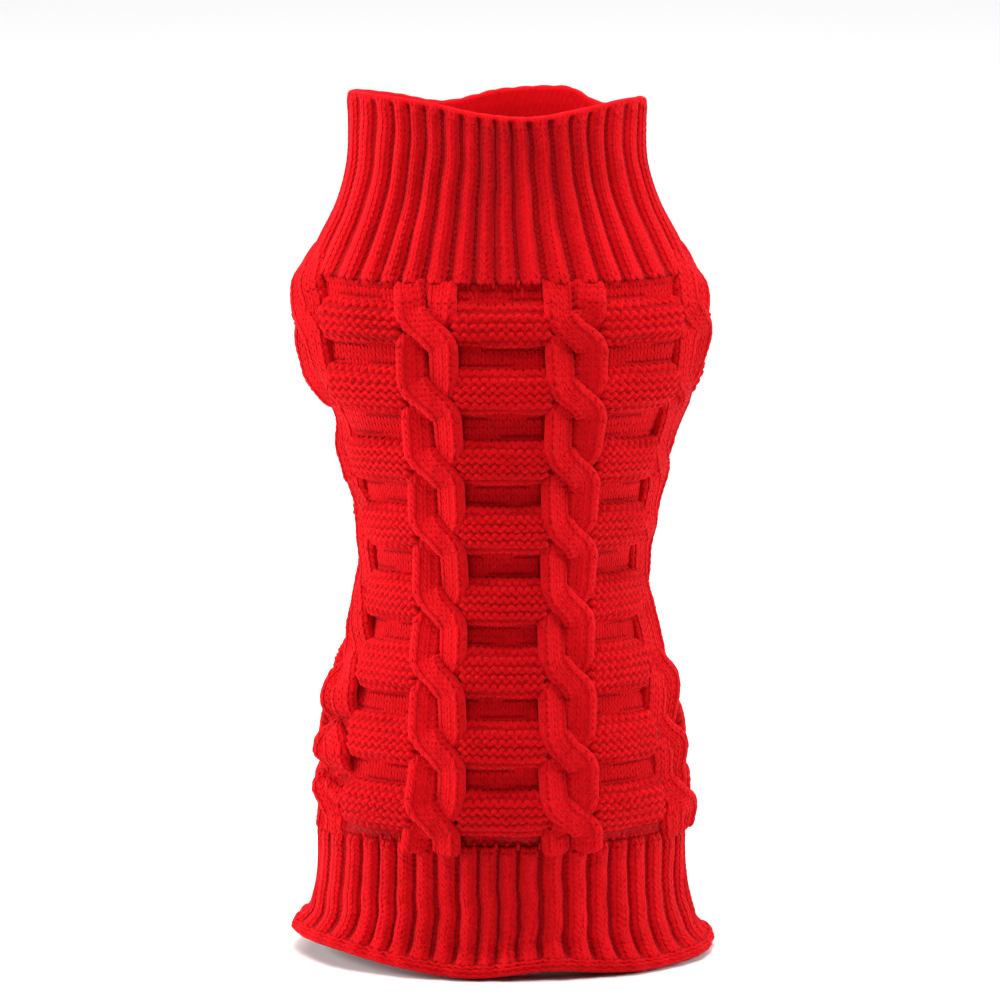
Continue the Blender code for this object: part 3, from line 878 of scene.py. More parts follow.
def build_hem_shell():
    turns = np.arange(HEM_COLUMNS) / HEM_COLUMNS - 0.5
    loops = [hem_surface(turns, share) for share in HEM_LEVELS]
    loops += [roll_surface(turns, step) for step in ROLL_STEPS]
    inner_shares = np.linspace(0.9, 0.0, 6)
    loops += [folded_point(turns, hem_height(turns, share), -INSIDE) for share in inner_shares]
    return ring_wall("hem_shell", loops, HEM_RIBS * 3, 60)


hem_shell = build_hem_shell()
hem_turn, hem_share, hem_wale = rib_wales(HEM_RIBS, (np.arange(HEM_ROWS) + 0.9) / (HEM_ROWS + 0.4))
flare_turn, flare_step = every(rib_wales(HEM_RIBS, np.array([1.0]))[0], FLARE_STEPS)
hem_legs = lay_legs(
    "hem_stitches",
    together(
        stitch_legs(hem_surface, hem_turn, hem_share, hem_wale, 1 / HEM_ROWS, **RIB_LEGS),
        stitch_legs(roll_surface, flare_turn, flare_step, hem_wale, 0.9, **RIB_LEGS),
    ),
    seed=5,
)

# %% [markdown]
# ## The cabled back: bars and recessed panels
# Between the cables the back is a ladder. Each bar is five or six rows of purl, which stand out
# as a fat roll, and each space between two bars is a few rows of plain knit, which lie back. A
# table holds the bars' edges, since the cloth is stretched unevenly. The shell's relief is a
# rounded bar with soft ends. Rows are packed where a bar's edge is steep, and are sparse where
# it is flat, so the shape is sharp and the face count stays low.

# %% The relief of the back
BARS = table_of(
    "top bottom",
    (-7.6, -20.6), (-29.8, -44.4), (-55.2, -69.8), (-79.0, -95.0),
    (-105.0, -121.0), (-130.0, -146.6), (-156.0, -172.0), (-181.2, -197.6),
)
BAR_TOPS = BARS["top"] * MM
BAR_BOTTOMS = BARS["bottom"] * MM
BACK_WALL = 3.2 * MM
BAR_RISE = 3.1 * MM
GAP_DEPTH = 1.8 * MM
SLOT_DEPTH = 0.6 * MM
MIDDLE_DEPTH = 0.7 * MM
CABLE_SPACING = 53.0 * MM
CABLE_WIDTH = 23.3 * MM
CABLE_CENTRES = np.array([-1.5, -0.5, 0.5, 1.5]) * CABLE_SPACING
DROOP_PLACE = 60.0 * MM
BAR_REACH = np.array([-0.2, 1.7, 1.7, -0.2]) * MM
ROUND_END = 1.6 * MM
SLOT_WIDTH = 1.8 * MM
MIDDLE_WIDTH = 18 * MM


def drooped(across, height):
    reach = np.minimum(np.abs(across), 1.5 * DROOP_PLACE) / DROOP_PLACE
    return height - MM * section("droop", height) * reach**2


def panel_point(across, height, out):
    """A point of the cabled back, from the distance across the relaxed cloth."""
    across, height, out = np.broadcast_arrays(across, height, out)
    low = drooped(across, height)
    turn = across * section("stretch", low) / girth(low)
    return folded_point(turn, low, out)


def bar_place(across, height):
    """Where a spot lies on its bar: the share of the way down it, and how far from its end."""
    wobble = 0.4 * MM * np.sin(across / (5.1 * MM) + height / (9.0 * MM))
    level = height - wobble
    bar = np.abs(level[..., None] - (BAR_TOPS + BAR_BOTTOMS) / 2).argmin(axis=-1)
    down = (BAR_TOPS[bar] - level) / (BAR_TOPS[bar] - BAR_BOTTOMS[bar])
    from_cables = np.abs(across[..., None] - CABLE_CENTRES)
    cable = from_cables.argmin(axis=-1)
    ragged = 0.3 * MM * np.sin(down * 9.0 + bar * 2.4 + np.round(across / CABLE_SPACING) * 1.7)
    return down, from_cables.min(axis=-1) - CABLE_WIDTH / 2 + BAR_REACH[cable] + ragged


def panel_rise(across, height):
    """How far the shell stands out: a fat roll on a bar, and a hollow between bars."""
    down, from_end = bar_place(across, height)
    roll = np.clip(1 - np.abs(2 * down - 1) ** 3.6, 0, 1) ** 0.6
    round_end = ROUND_END * (1 + 0.5 * np.abs(2 * down - 1) ** 3)
    ends = np.clip(from_end / round_end + 0.6, 0, 1)
    pulled_flat = 1 - 0.35 * ramp(np.abs(across), 88 * MM, 12 * MM)
    bar = BAR_RISE * roll * np.sqrt(ends * (2 - ends)) * pulled_flat
    slot = SLOT_DEPTH * bell(from_end, SLOT_WIDTH) * (np.abs(across) < CABLE_CENTRES[2])
    loose = ramp(np.abs(across), 47 * MM, 12 * MM)
    deeper = MIDDLE_DEPTH * bell(across, MIDDLE_WIDTH)
    hollow = (1 - roll) * (GAP_DEPTH * (1 - 0.2 * loose) + deeper + slot)
    below_collar = np.exp((height - COLLAR_SEAM) / (2.4 * MM))
    collar_ribs = 1.5 * MM * rib_profile(across / girth(COLLAR_SEAM), 0.0, COLLAR_RIBS) + 0.4 * MM
    above_hem = np.exp((HEM_SEAM - height) / (1.8 * MM))
    hem_turn = across * section("stretch", HEM_SEAM) / girth(HEM_SEAM)
    hem_ribs = 1.4 * MM * rib_profile(hem_turn, 0.0, HEM_RIBS)
    return bar - hollow + below_collar * collar_ribs + above_hem * hem_ribs


def panel_surface(across, height):
    return panel_point(across, height, panel_rise(across, height))


bar_width = CABLE_SPACING - CABLE_WIDTH + 2 * BAR_REACH[1]
print("a middle bar is", round(float(bar_width) / MM, 1), "mm wide")
print("the bars are", (BARS["top"] - BARS["bottom"]).round(1), "mm tall")


# %% Close a patch with a plain inside
def patch_triangles(rows, columns, start):
    """Triangles of a grid of points that is open at its borders."""
    quads, _ = grid_quads(rows, columns, False, False)
    return np.concatenate([quads[:, [0, 1, 2]], quads[:, [0, 2, 3]]]) + start


def border(rows, columns, start):
    """The border of such a grid, as its four sides in order round it."""
    numbers = np.arange(rows * columns).reshape(rows, columns) + start
    return [numbers[:, 0], numbers[-1, :], numbers[::-1, -1], numbers[0, ::-1]]


def zip_sides(first, second):
    """Triangles between two lines of points that start and end side by side."""
    made = []
    i = j = 0
    while i < len(first) - 1 or j < len(second) - 1:
        step_i = (i + 1) / (len(first) - 1) if i < len(first) - 1 else 2.0
        step_j = (j + 1) / (len(second) - 1) if j < len(second) - 1 else 2.0
        if step_i <= step_j:
            made.append((first[i], first[i + 1], second[j]))
            i += 1
        else:
            made.append((first[i], second[j + 1], second[j]))
            j += 1
    return made


def face_outwards(piece):
    mesh = bmesh.new()
    mesh.from_mesh(piece.data)
    bmesh.ops.recalc_face_normals(mesh, faces=mesh.faces)
    mesh.to_mesh(piece.data)
    mesh.free()


def closed_patch(name, outer, outer_spots, inner, inner_spots):
    """A closed wall from an outer grid of points and an inner one, which may be coarser."""
    outer_count = outer.shape[0] * outer.shape[1]
    triangles = [
        patch_triangles(*outer.shape[:2], 0),
        patch_triangles(*inner.shape[:2], outer_count)[:, ::-1],
    ]
    for side, other in zip(border(*outer.shape[:2], 0), border(*inner.shape[:2], outer_count)):
        triangles.append(np.array(zip_sides(side, other)))
    triangles = np.concatenate(triangles)
    points = np.concatenate([outer.reshape(-1, 3), inner.reshape(-1, 3)])
    spots = np.concatenate([outer_spots.reshape(-1, 2), inner_spots.reshape(-1, 2)])
    piece = add_mesh(name, points, triangles, spots[triangles.ravel()])
    face_outwards(piece)
    return piece


print("sides of 4 and 2 points are joined by", len(zip_sides(range(4), range(2))), "triangles")


# %% The back's shell
SHARES_DOWN_BAR = np.array([0.0, 0.02, 0.06, 0.12, 0.2, 0.32, 0.5, 0.68, 0.8, 0.88, 0.94, 0.98, 1.0])
SHARES_DOWN_GAP = np.array([0.1, 0.35, 0.65, 0.9])
COLUMNS_AT_BAR_END = np.array([-0.7, 0.0, 0.6, 1.4, 2.8]) * MM
EVEN_COLUMNS = 91
INNER_COLUMNS = 40
INNER_ROWS = 34
STITCH = 3.1 * MM
ROW = 2.5 * MM


def panel_rows():
    rows = [COLLAR_SEAM - SEAM_GAP / 2, HEM_SEAM + SEAM_GAP / 2]
    above = COLLAR_SEAM
    for top, bottom in zip(BAR_TOPS, BAR_BOTTOMS):
        rows += list(above - SHARES_DOWN_GAP * (above - top))
        rows += list(top - SHARES_DOWN_BAR * (top - bottom))
        above = bottom
    return np.array(sorted(set(rows), reverse=True))


def panel_columns():
    columns = list(np.linspace(-1, 1, EVEN_COLUMNS) * (SIDE_SEAM - SEAM_GAP / 2))
    for centre, reach in zip(CABLE_CENTRES, BAR_REACH):
        for side in (-1, 1):
            columns += list(centre + side * (CABLE_WIDTH / 2 - reach + COLUMNS_AT_BAR_END))
    return np.unique(np.round(columns, 6))


def build_back_shell():
    across, height = np.meshgrid(panel_columns(), panel_rows())
    outer = panel_surface(across, height)
    inner_across, inner_height = np.meshgrid(
        np.linspace(across.min(), across.max(), INNER_COLUMNS),
        np.linspace(height.max(), height.min(), INNER_ROWS),
    )
    inner = panel_point(inner_across, inner_height, -BACK_WALL)
    spots = np.stack([across / STITCH, height / ROW], axis=-1)
    inner_spots = np.stack([inner_across / STITCH, inner_height / ROW], axis=-1)
    return closed_patch("back_shell", outer, spots, inner, inner_spots)


back_shell = build_back_shell()

# %% [markdown]
# ## Purl rows on the bars
# From its purl side a row of knitting is one yarn that snakes over and under: both its upper and
# its lower bends come forward, and the runs between them dip back. So each row is a real wavy
# line, and a Geometry Nodes tree turns all the lines into yarn of one thickness.

# %% The tree that turns lines into yarn
# In yarn_place one leg is one unit long, and so many units go into a metre of spun yarn.
LEGS_PER_METRE = 300.0
YARN_SIDES = 5


def build_yarn_tree():
    tree, given, result = new_group(
        "spin_yarn",
        "GeometryNodeTree",
        [
            ("Lines", "NodeSocketGeometry", None),
            ("Yarn Radius", "NodeSocketFloat", 0.7 * MM),
            ("Yarn Sides", "NodeSocketInt", 5),
            ("Wool", "NodeSocketMaterial", None),
        ],
        ("Yarn", "NodeSocketGeometry"),
    )
    lines = add_node(tree, "GeometryNodeMeshToCurve", {"Mesh": given["Lines"]})
    circle = {"Resolution": given["Yarn Sides"], "Radius": given["Yarn Radius"]}
    ring = add_node(tree, "GeometryNodeCurvePrimitiveCircle", circle)
    around = add_node(tree, "GeometryNodeInputPosition")
    ring_marked = mark(tree, ring.outputs["Curve"], "yarn_side", around.outputs["Position"])
    run = add_node(tree, "GeometryNodeSplineParameter")
    line_marked = mark(tree, lines.outputs["Curve"], "yarn_run", run.outputs["Length"], "FLOAT")
    sweep = {"Curve": line_marked, "Profile Curve": ring_marked, "Fill Caps": True}
    spun = add_node(tree, "GeometryNodeCurveToMesh", sweep)
    side = add_node(tree, "ShaderNodeSeparateXYZ", {"Vector": read_mark(tree, "yarn_side")}).outputs
    along = maths(tree, "MULTIPLY", read_mark(tree, "yarn_run", "FLOAT"), LEGS_PER_METRE)
    place = add_node(tree, "ShaderNodeCombineXYZ", {"X": side["X"], "Y": side["Y"], "Z": along})
    marked = mark(tree, spun.outputs["Mesh"], "yarn_place", place.outputs["Vector"])
    realize_and_dress(tree, marked, given["Wool"], result)
    return tree


YARN_TREE = build_yarn_tree()


def spin(name, lines, radius):
    """Yarn along each line of points."""
    edges = []
    start = 0
    for line in lines:
        numbers = np.arange(start, start + len(line))
        edges.append(np.stack([numbers[:-1], numbers[1:]], axis=-1))
        start += len(line)
    source = source_mesh(name + "_lines", np.concatenate(lines), np.concatenate(edges))
    print(name, "is spun along", len(lines), "rows")
    settings = {"Yarn Radius": radius, "Yarn Sides": YARN_SIDES, "Wool": STITCH_WOOL}
    return grow(name, source, YARN_TREE, settings)


print("the yarn tree has", len(YARN_TREE.nodes), "nodes")


# %% The purl rows
PURL_ROW = 2.6 * MM
PURL_STITCH = 3.0 * MM
PURL_WAVE = 0.55 * MM
PURL_BULGE = 0.42 * MM
PURL_SINK = 0.88 * MM
PURL_YARN = 1.24 * MM
STEPS_PER_STITCH = 7
SEAM_MARGIN = 1.0 * MM


def ladder_columns():
    """Left and right end of each column of bars, across the relaxed cloth."""
    edges = CABLE_CENTRES[:, None] + np.array([-1, 1]) * (CABLE_WIDTH / 2 - BAR_REACH[:, None])
    inner = [(edges[i, 1], edges[i + 1, 0]) for i in range(3)]
    return [(SEAM_MARGIN - SIDE_SEAM, edges[0, 0]), *inner, (edges[3, 1], SIDE_SEAM - SEAM_MARGIN)]


def purl_row(chance, left, right, top, bottom, down):
    """One wavy row of a bar. down is the share of the way from its top to its bottom."""
    stitches = round((right - left) / PURL_STITCH)
    share = np.linspace(0.0, 1.0, stitches * STEPS_PER_STITCH + 1)

    def uneven():
        """Slow ups and downs along the row, with a random height for every stitch."""
        return np.interp(share * stitches, np.arange(stitches + 1), chance.uniform(-1, 1, stitches + 1))

    inset = 0.5 * MM * abs(2 * down - 1) ** 3 - 0.9 * MM + chance.uniform(-0.2, 0.2, 2) * MM
    across = left + inset[0] + share * (right - left - inset.sum())
    phase = share * stitches * 2 * np.pi + chance.uniform(-0.5, 0.5)
    size = 1.0 + 0.25 * uneven()
    drift = 0.22 * MM * uneven()
    height = top - down * (top - bottom) - PURL_WAVE * size * np.cos(phase) + drift
    rise = panel_rise(across, height) - PURL_SINK + PURL_BULGE * np.cos(phase) ** 2 * size
    curl_in = 0.9 * MM * (np.exp(-share * 60) + np.exp(-(1 - share) * 60))
    return panel_point(across, height, rise - curl_in)


def purl_lines():
    lines = []
    chance = np.random.default_rng(11)
    for left, right in ladder_columns():
        for top, bottom in zip(BAR_TOPS, BAR_BOTTOMS):
            rows = round((top - bottom) / PURL_ROW)
            for row in range(rows):
                down = 0.05 + 0.9 * row / (rows - 1)
                lines.append(purl_row(chance, left, right, top, bottom, down))
    return lines


bar_yarn = spin("bar_purl_rows", purl_lines(), PURL_YARN)

# %% [markdown]
# ## Knit stitches between the bars
# The spaces between bars are plain knit, mostly four rows deep. Their legs lie flatter than on
# the ribs and almost upright, so from a step away they read as fine upright lines. They go on a
# little way under the cables.

# %% Legs in the spaces
UNDER_CABLE = 3 * MM


def space_stitches():
    across = []
    height = []
    for left, right in ladder_columns():
        left = max(left - UNDER_CABLE, SEAM_MARGIN - SIDE_SEAM)
        right = min(right + UNDER_CABLE, SIDE_SEAM - SEAM_MARGIN)
        count = round((right - left) / STITCH)
        middles = left + (np.arange(count) + 0.5) * (right - left) / count
        above = COLLAR_SEAM
        for top, bottom in zip([*BAR_TOPS, HEM_SEAM], [*BAR_BOTTOMS, None]):
            rows = round((above - top) / ROW)
            one, two = every(middles, top + (np.arange(rows) + 0.5) * (above - top) / rows)
            across.append(one)
            height.append(two)
            above = bottom
    return np.concatenate(across), np.concatenate(height)


space_across, space_height = space_stitches()
space_legs = lay_legs(
    "ladder_space_stitches",
    stitch_legs(panel_surface, space_across, space_height, STITCH, ROW, broad=0.66, plump=0.13, lean=0.12),
    seed=7,
)

# %% [markdown]
# ## The cables
# A rope cable is two broad strands of knit that trade places: at every bar the left strand
# crosses over the right one. On the real fabric the strands truly pass over each other, with
# open shadow beneath, so each strand here is its own swept body. It stands highest where it goes
# over, where it is also narrower, and sinks soon after. Where it comes out from under the other
# strand it stays low for a while, which leaves a hollow. Its section is a flat oval, rolled so
# that the outer edge stands up and leaves a shallow valley in the middle of the rope. The two
# outer cables run down the flanks, where the cloth is loose, so a table says how far they stand
# off or sink in. They lean to the front, and their tops run out of the collar's ribs.

# %% The path of one strand
STRAND_SWING = 5.6 * MM
STRAND_REACH = 5.9 * MM
STRAND_THICK = 4.2 * MM
CROSSING_BELOW_BAR_MIDDLE = 2.0 * MM
CROSSING_SPAN = 0.56
STRAND_LIFT = table_of(
    "passed lift",
    # crossings passed since the strand went over, and how high it stands, in millimetres
    (0.00, 1.3), (0.15, 1.05), (0.35, 0.4), (0.60, 0.0), (0.80, -0.5), (1.00, -1.4),
    (1.20, -1.4), (1.40, -0.8), (1.62, -0.2), (1.82, 0.7), (2.00, 1.3),
)
NARROWER_OVER = 0.16
NARROWER_UNDER = 0.22
THICKER_OVER = 0.05
THINNER_UNDER = 0.1
STRAND_FLOAT = 0.8 * MM
OUTWARD_FEELER = 5.8 * MM
TUCK_LENGTH = 7 * MM
TUCK_DEPTH = 1.5 * MM
ROLL_ANGLE = math.radians(23)
OUTER_LIFT = 0.7
OUTER_ROLL = math.radians(10)
OUTER_LEAN = math.radians(26)
CABLE_TOP = 0.8 * MM
OUTER_TOP = 8.0 * MM
CABLE_END = -206.0 * MM
PATH_STEPS = 260
STAND_OFF = table_of(
    "height left right lean",
    # height, how far the outer left and the outer right cable stand off, in millimetres, and
    # the share of their lean
    (-205.0, -2.0, 0.0, 1.0), (-199.0, -1.8, 1.0, 1.0), (-193.0, -1.0, 1.0, 1.0),
    (-187.0, 0.2, -1.6, 1.0), (-181.5, -4.2, -2.8, 1.0), (-176.5, 0.6, -1.6, 1.0),
    (-170.0, 1.6, -1.0, 1.0), (-165.0, -0.4, -2.6, 1.0), (-161.5, -3.9, -3.0, 1.0),
    (-157.0, -0.2, -2.0, 1.0), (-150.0, 1.8, 0.0, 1.0), (-138.0, -2.4, 0.6, 1.0),
    (-126.0, 1.0, -0.4, 1.0), (-118.0, 0.8, -1.6, 1.0), (-106.0, -0.6, -0.6, 1.0),
    (-94.0, -0.6, 0.0, 1.0), (-82.0, -3.4, -0.6, 1.0), (-70.0, -0.6, 1.2, 0.9),
    (-60.0, -0.6, -0.4, 0.8), (-50.0, -4.0, -0.4, 0.5), (-38.0, -2.4, -2.0, 0.4),
    (-26.0, -0.9, -1.5, 0.7), (-12.0, -1.2, -0.8, 1.0), (0.0, 0.5, -0.5, 1.0),
    (4.0, -1.0, -1.6, 1.0), (8.0, -3.4, -3.4, 1.0),
)


def flank(cable):
    """-1 for the outer left cable, 1 for the outer right one, and 0 for the two inner ones."""
    return {0: -1, len(CABLE_CENTRES) - 1: 1}.get(cable, 0)


def path_heights(cable):
    return np.linspace(OUTER_TOP if flank(cable) else CABLE_TOP, CABLE_END, PATH_STEPS)


def stand_off(cable):
    """How far a cable stands off and leans, all the way down. The two inner ones lie close."""
    if flank(cable) == 0:
        return np.zeros(PATH_STEPS), np.zeros(PATH_STEPS)
    side = "left" if flank(cable) < 0 else "right"
    heights = path_heights(cable) / MM
    stand = smooth_curve(STAND_OFF["height"], STAND_OFF[side], heights)
    lean = smooth_curve(STAND_OFF["height"], STAND_OFF["lean"], heights)
    return MM * stand, OUTER_LEAN * flank(cable) * lean


def soft_step(value):
    value = np.clip(value, 0.0, 1.0)
    return value * value * (3.0 - 2.0 * value)


def crossing_count(height, cable):
    """Counts crossings down a cable: whole numbers at the crossings, which are a little uneven."""
    middles = (BAR_TOPS + BAR_BOTTOMS) / 2 - CROSSING_BELOW_BAR_MIDDLE
    middles = middles + 0.7 * MM * np.sin(2.3 * np.arange(len(BARS)) + 1.9 * cable)
    pitch = (middles[-1] - middles[0]) / (len(BARS) - 1)
    places = np.concatenate([[middles[0] - pitch], middles, [middles[-1] + pitch]])
    return np.interp(-height, -places, np.arange(-1.0, len(BARS) + 1.0))


def strand_height(cable, strand, count, stand, tuck):
    """How far out a strand runs. Its top end is tucked under the collar."""
    lift = MM * smooth_curve(STRAND_LIFT["passed"], STRAND_LIFT["lift"], (count + strand) % 2.0)
    lift = lift * (OUTER_LIFT if flank(cable) else 1.0) + stand
    return lift * (1 - tuck) + (stand if flank(cable) else -TUCK_DEPTH) * tuck


def strand_path(cable, strand):
    """Points down one strand, with its directions, half width and thickness there."""
    heights = path_heights(cable)
    count = crossing_count(heights, cable)
    nearest = np.round(count)
    crossed = soft_step((count - nearest) / CROSSING_SPAN + 0.5)
    goes_over = (nearest + strand) % 2 == 0
    side = np.where(goes_over, 2 * crossed - 1, 1 - 2 * crossed)
    in_crossing = 1 - np.abs(2 * crossed - 1)
    stand, lean = stand_off(cable)
    tuck = 1 - soft_step((CABLE_TOP - heights) / TUCK_LENGTH)
    lift = strand_height(cable, strand, count, stand, tuck)
    uneven = 0.35 * MM * np.sin(count * 2.9 + 2.1 * cable + 1.3 * strand)
    across = CABLE_CENTRES[cable] + STRAND_SWING * side + uneven
    middle = panel_point(across, heights, STRAND_FLOAT + lift)
    beyond = panel_point(across, heights, OUTWARD_FEELER + lift)
    down = unit(np.gradient(middle, axis=0))
    outward = unit(beyond - middle)
    beside = unit(np.cross(down, outward))
    rolled = OUTER_ROLL if flank(cable) else ROLL_ANGLE
    roll = (rolled * side * (1 - in_crossing) * (1 - tuck) + lean)[:, None]
    beside, outward = (
        beside * np.cos(roll) - outward * np.sin(roll),
        outward * np.cos(roll) + beside * np.sin(roll),
    )
    half_width = STRAND_REACH * (1 - np.where(goes_over, NARROWER_OVER, NARROWER_UNDER) * in_crossing)
    swollen = 1 + np.where(goes_over, THICKER_OVER, -THINNER_UNDER) * in_crossing
    thick = STRAND_THICK * swollen * (1 - 0.25 * tuck)
    return {
        "middle": middle,
        "outward": outward,
        "beside": beside,
        "half_width": half_width[:, None],
        "thick": thick[:, None],
    }


def strand_run(path):
    steps = np.linalg.norm(np.diff(path["middle"], axis=0), axis=-1)
    return np.concatenate([[0.0], np.cumsum(steps)])


def strand_top(across):
    """The strand's upper face over its width, from -1 to 1, as a share of half its thickness."""
    oval = np.clip(1 - np.abs(across) ** 2.3, 0, 1) ** 0.55
    return oval + 0.17 * bell(np.abs(across) - 0.64, 0.15) - 0.08


def strand_surface(path, run):
    """A function from (across, distance along) to a point of the strand's upper face."""
    def surface(across, along):
        def read(key):
            return np.stack([np.interp(along, run, values) for values in path[key].T], axis=-1)

        sideways = read("beside") * read("half_width") * across[..., None]
        upwards = read("outward") * read("thick") / 2 * strand_top(across)[..., None]
        return read("middle") - sideways + upwards

    return surface


print("a strand is", round(2 * STRAND_REACH / MM, 1), "mm wide")

# %% Sweep the strands and lay their stitches
STRAND_SIDES = 18
STRAND_WALES = 4
STRAND_EDGE = 0.96
END_MARGIN = 1.4 * MM
END_SHRINK = (0.02, 0.62, 0.84)
LOWER_END_SHRINK = 0.94


def sweep_strand(path):
    """Rows of points round the strand, closed at both ends by shrinking rows."""
    angles = np.linspace(0, 2 * np.pi, STRAND_SIDES, endpoint=False)
    across = np.sign(np.cos(angles)) * np.abs(np.cos(angles)) ** 0.7
    below = -1.5 * np.abs(np.sin(angles)) ** 0.7
    out = np.where(np.sin(angles) >= 0, strand_top(across), below) / 2
    shrink = np.ones((PATH_STEPS, 1))
    shrink[-1 - len(END_SHRINK)] = LOWER_END_SHRINK
    for step, share in enumerate(END_SHRINK):
        shrink[[step, -1 - step]] = share
    sideways = (across * path["half_width"] * shrink)[..., None] * path["beside"][:, None, :]
    outwards = (out * path["thick"] * shrink)[..., None] * path["outward"][:, None, :]
    return path["middle"][:, None, :] - sideways + outwards


def strand_legs(path):
    run = strand_run(path)
    wales = (np.arange(STRAND_WALES) + 0.5) / STRAND_WALES * 2 - 1
    across, along = every(wales * STRAND_EDGE, np.arange(END_MARGIN, run[-1] - END_MARGIN, ROW * 1.02))
    surface = strand_surface(path, run)
    return stitch_legs(surface, across, along, 2 / STRAND_WALES * STRAND_EDGE, ROW, plump=0.15)


def build_cables():
    paths = [strand_path(cable, strand) for cable in range(len(CABLE_CENTRES)) for strand in (0, 1)]
    points = [sweep_strand(path).reshape(-1, 3) for path in paths]
    quads, spots = grid_quads(PATH_STEPS, STRAND_SIDES, True, False)
    numbered = [quads + number * PATH_STEPS * STRAND_SIDES for number in range(len(paths))]
    uv = np.tile(spots * np.array([0.5, 0.4]), (len(paths), 1, 1))
    strands = add_mesh("cable_strands", np.concatenate(points), np.concatenate(numbered), uv)
    face_outwards(strands)
    return strands, lay_legs("cable_stitches", together(*map(strand_legs, paths)), seed=9)


cable_strands, cable_legs = build_cables()

# %% [markdown]
# ## The belly
# The belly panel is plain knit. It is narrow at the waist and has two round leg openings. Its
# shell starts as a flat plan: a grid of points, with a ring of points round each opening. Blender
# fills a flat plan with triangles, and each of its points then wraps round the tube.

# %% The belly's plan and shell
LEG_HEIGHT = -44.0 * MM
LEG_FROM_BELLY_LINE = 35.0 * MM
LEG_HOLE_RADIUS = 19.0 * MM
BELLY_SINK = 0.25 * MM
PLAN_COLUMNS = 41
PLAN_ROWS = 78
HOLE_STEPS = 96
HOLE_MARGIN = 1.4 * MM


def belly_half_width(height):
    return girth(height) / 2 - SIDE_SEAM * section("stretch", height) - SEAM_GAP / 2


def belly_point(spread, height, out):
    """A point of the belly cloth. spread runs from -1 at one side seam to 1 at the other."""
    spread, height, out = np.broadcast_arrays(spread, height, out)
    level = height - spread**2 * (height - drooped(SIDE_SEAM, height))
    turn = 0.5 - spread * belly_half_width(level) / girth(level)
    return folded_point(turn, level, out)


PLAN_WIDTH = float(belly_half_width(LEG_HEIGHT))


def from_leg_hole(spread, height):
    return np.hypot(np.abs(spread) * PLAN_WIDTH - LEG_FROM_BELLY_LINE, height - LEG_HEIGHT)


def leg_outline(side, radius, angle):
    spread = (side * LEG_FROM_BELLY_LINE + radius * np.cos(angle)) / PLAN_WIDTH
    return spread, LEG_HEIGHT + radius * np.sin(angle)


def belly_plan():
    heights = np.linspace(-SEAM_GAP / 2, HEM_SEAM + SEAM_GAP / 2, PLAN_ROWS)
    spread, height = every(np.linspace(-1.0, 1.0, PLAN_COLUMNS), heights)
    clear = from_leg_hole(spread, height) > LEG_HOLE_RADIUS + HOLE_MARGIN
    spots = [np.stack([spread[clear], height[clear]], axis=-1)]
    angles = np.linspace(0, 2 * np.pi, HOLE_STEPS, endpoint=False)
    for side in (-1, 1):
        spots.append(np.stack(leg_outline(side, LEG_HOLE_RADIUS, angles), axis=-1))
    return np.concatenate(spots)


def build_belly_shell():
    plan = belly_plan()
    flat = [Vector((spread * PLAN_WIDTH, height)) for spread, height in plan]
    points, _, faces, _, _, _ = delaunay_2d_cdt(flat, [], [], 0, 1e-7)
    plan = np.array([(point.x / PLAN_WIDTH, point.y) for point in points])
    faces = np.array(faces)
    middles = plan[faces].mean(axis=1)
    faces = faces[from_leg_hole(middles[:, 0], middles[:, 1]) > 0.995 * LEG_HOLE_RADIUS]
    outer = belly_point(plan[:, 0], plan[:, 1], -BELLY_SINK)
    inner = belly_point(plan[:, 0], plan[:, 1], -WALL)
    edges = np.concatenate([faces[:, [0, 1]], faces[:, [1, 2]], faces[:, [2, 0]]])
    _, first, times = np.unique(np.sort(edges, axis=1), axis=0, return_index=True, return_counts=True)
    ahead, behind = edges[first[times == 1]].T
    count = len(plan)
    walls = [
        np.column_stack([behind, ahead, ahead + count]),
        np.column_stack([behind, ahead + count, behind + count]),
    ]
    triangles = np.concatenate([faces, faces[:, ::-1] + count, *walls])
    spots = np.tile(plan * np.array([PLAN_WIDTH / STITCH, 1 / ROW]), (2, 1))
    piece = add_mesh("belly_shell", np.concatenate([outer, inner]), triangles, spots[triangles.ravel()])
    face_outwards(piece)
    return piece


belly_shell = build_belly_shell()

# %% The belly's stitches
BELLY_WALES = np.arange(-24, 25) * STITCH
BELLY_ROWS = np.arange(-1.6 * MM, -201.0 * MM, -ROW)
STITCHES_FROM_SIDE = 1.4 * MM
STITCHES_FROM_HOLE = 1.2 * MM


def belly_surface(across, height):
    """across is in metres from the belly line."""
    return belly_point(across / belly_half_width(height), height, 0.0)


def belly_stitches():
    across, height = every(BELLY_WALES, BELLY_ROWS)
    half_width = belly_half_width(height)
    inside = np.abs(across) < half_width - STITCHES_FROM_SIDE
    clear = from_leg_hole(across / half_width, height) > LEG_HOLE_RADIUS + STITCHES_FROM_HOLE
    return across[inside & clear], height[inside & clear]


belly_across, belly_height = belly_stitches()
belly_legs = lay_legs(
    "belly_stitches",
    stitch_legs(belly_surface, belly_across, belly_height, STITCH, ROW, broad=0.64, plump=0.30),
    seed=13,
)

# %% [markdown]
# ## The leg bands
# Each leg opening ends in a short ribbed band that stands out from the belly. It is one more ring
# wall: its rows run up the ribbed side, over a rounded end and down the plain side.

# %% Both leg bands
LEG_BAND_RIBS = 16
BAND_COLUMNS = LEG_BAND_RIBS * 12
BAND_HEIGHT = 8.0 * MM
BAND_WALL = 2.3 * MM
BAND_GAP = 0.3 * MM
BAND_ROUND_END = ((1.2 * MM, 0.5 * MM), (2.0 * MM, 0.4 * MM))
BAND_ROWS = np.array([0.16, 0.44, 0.72, 0.96])


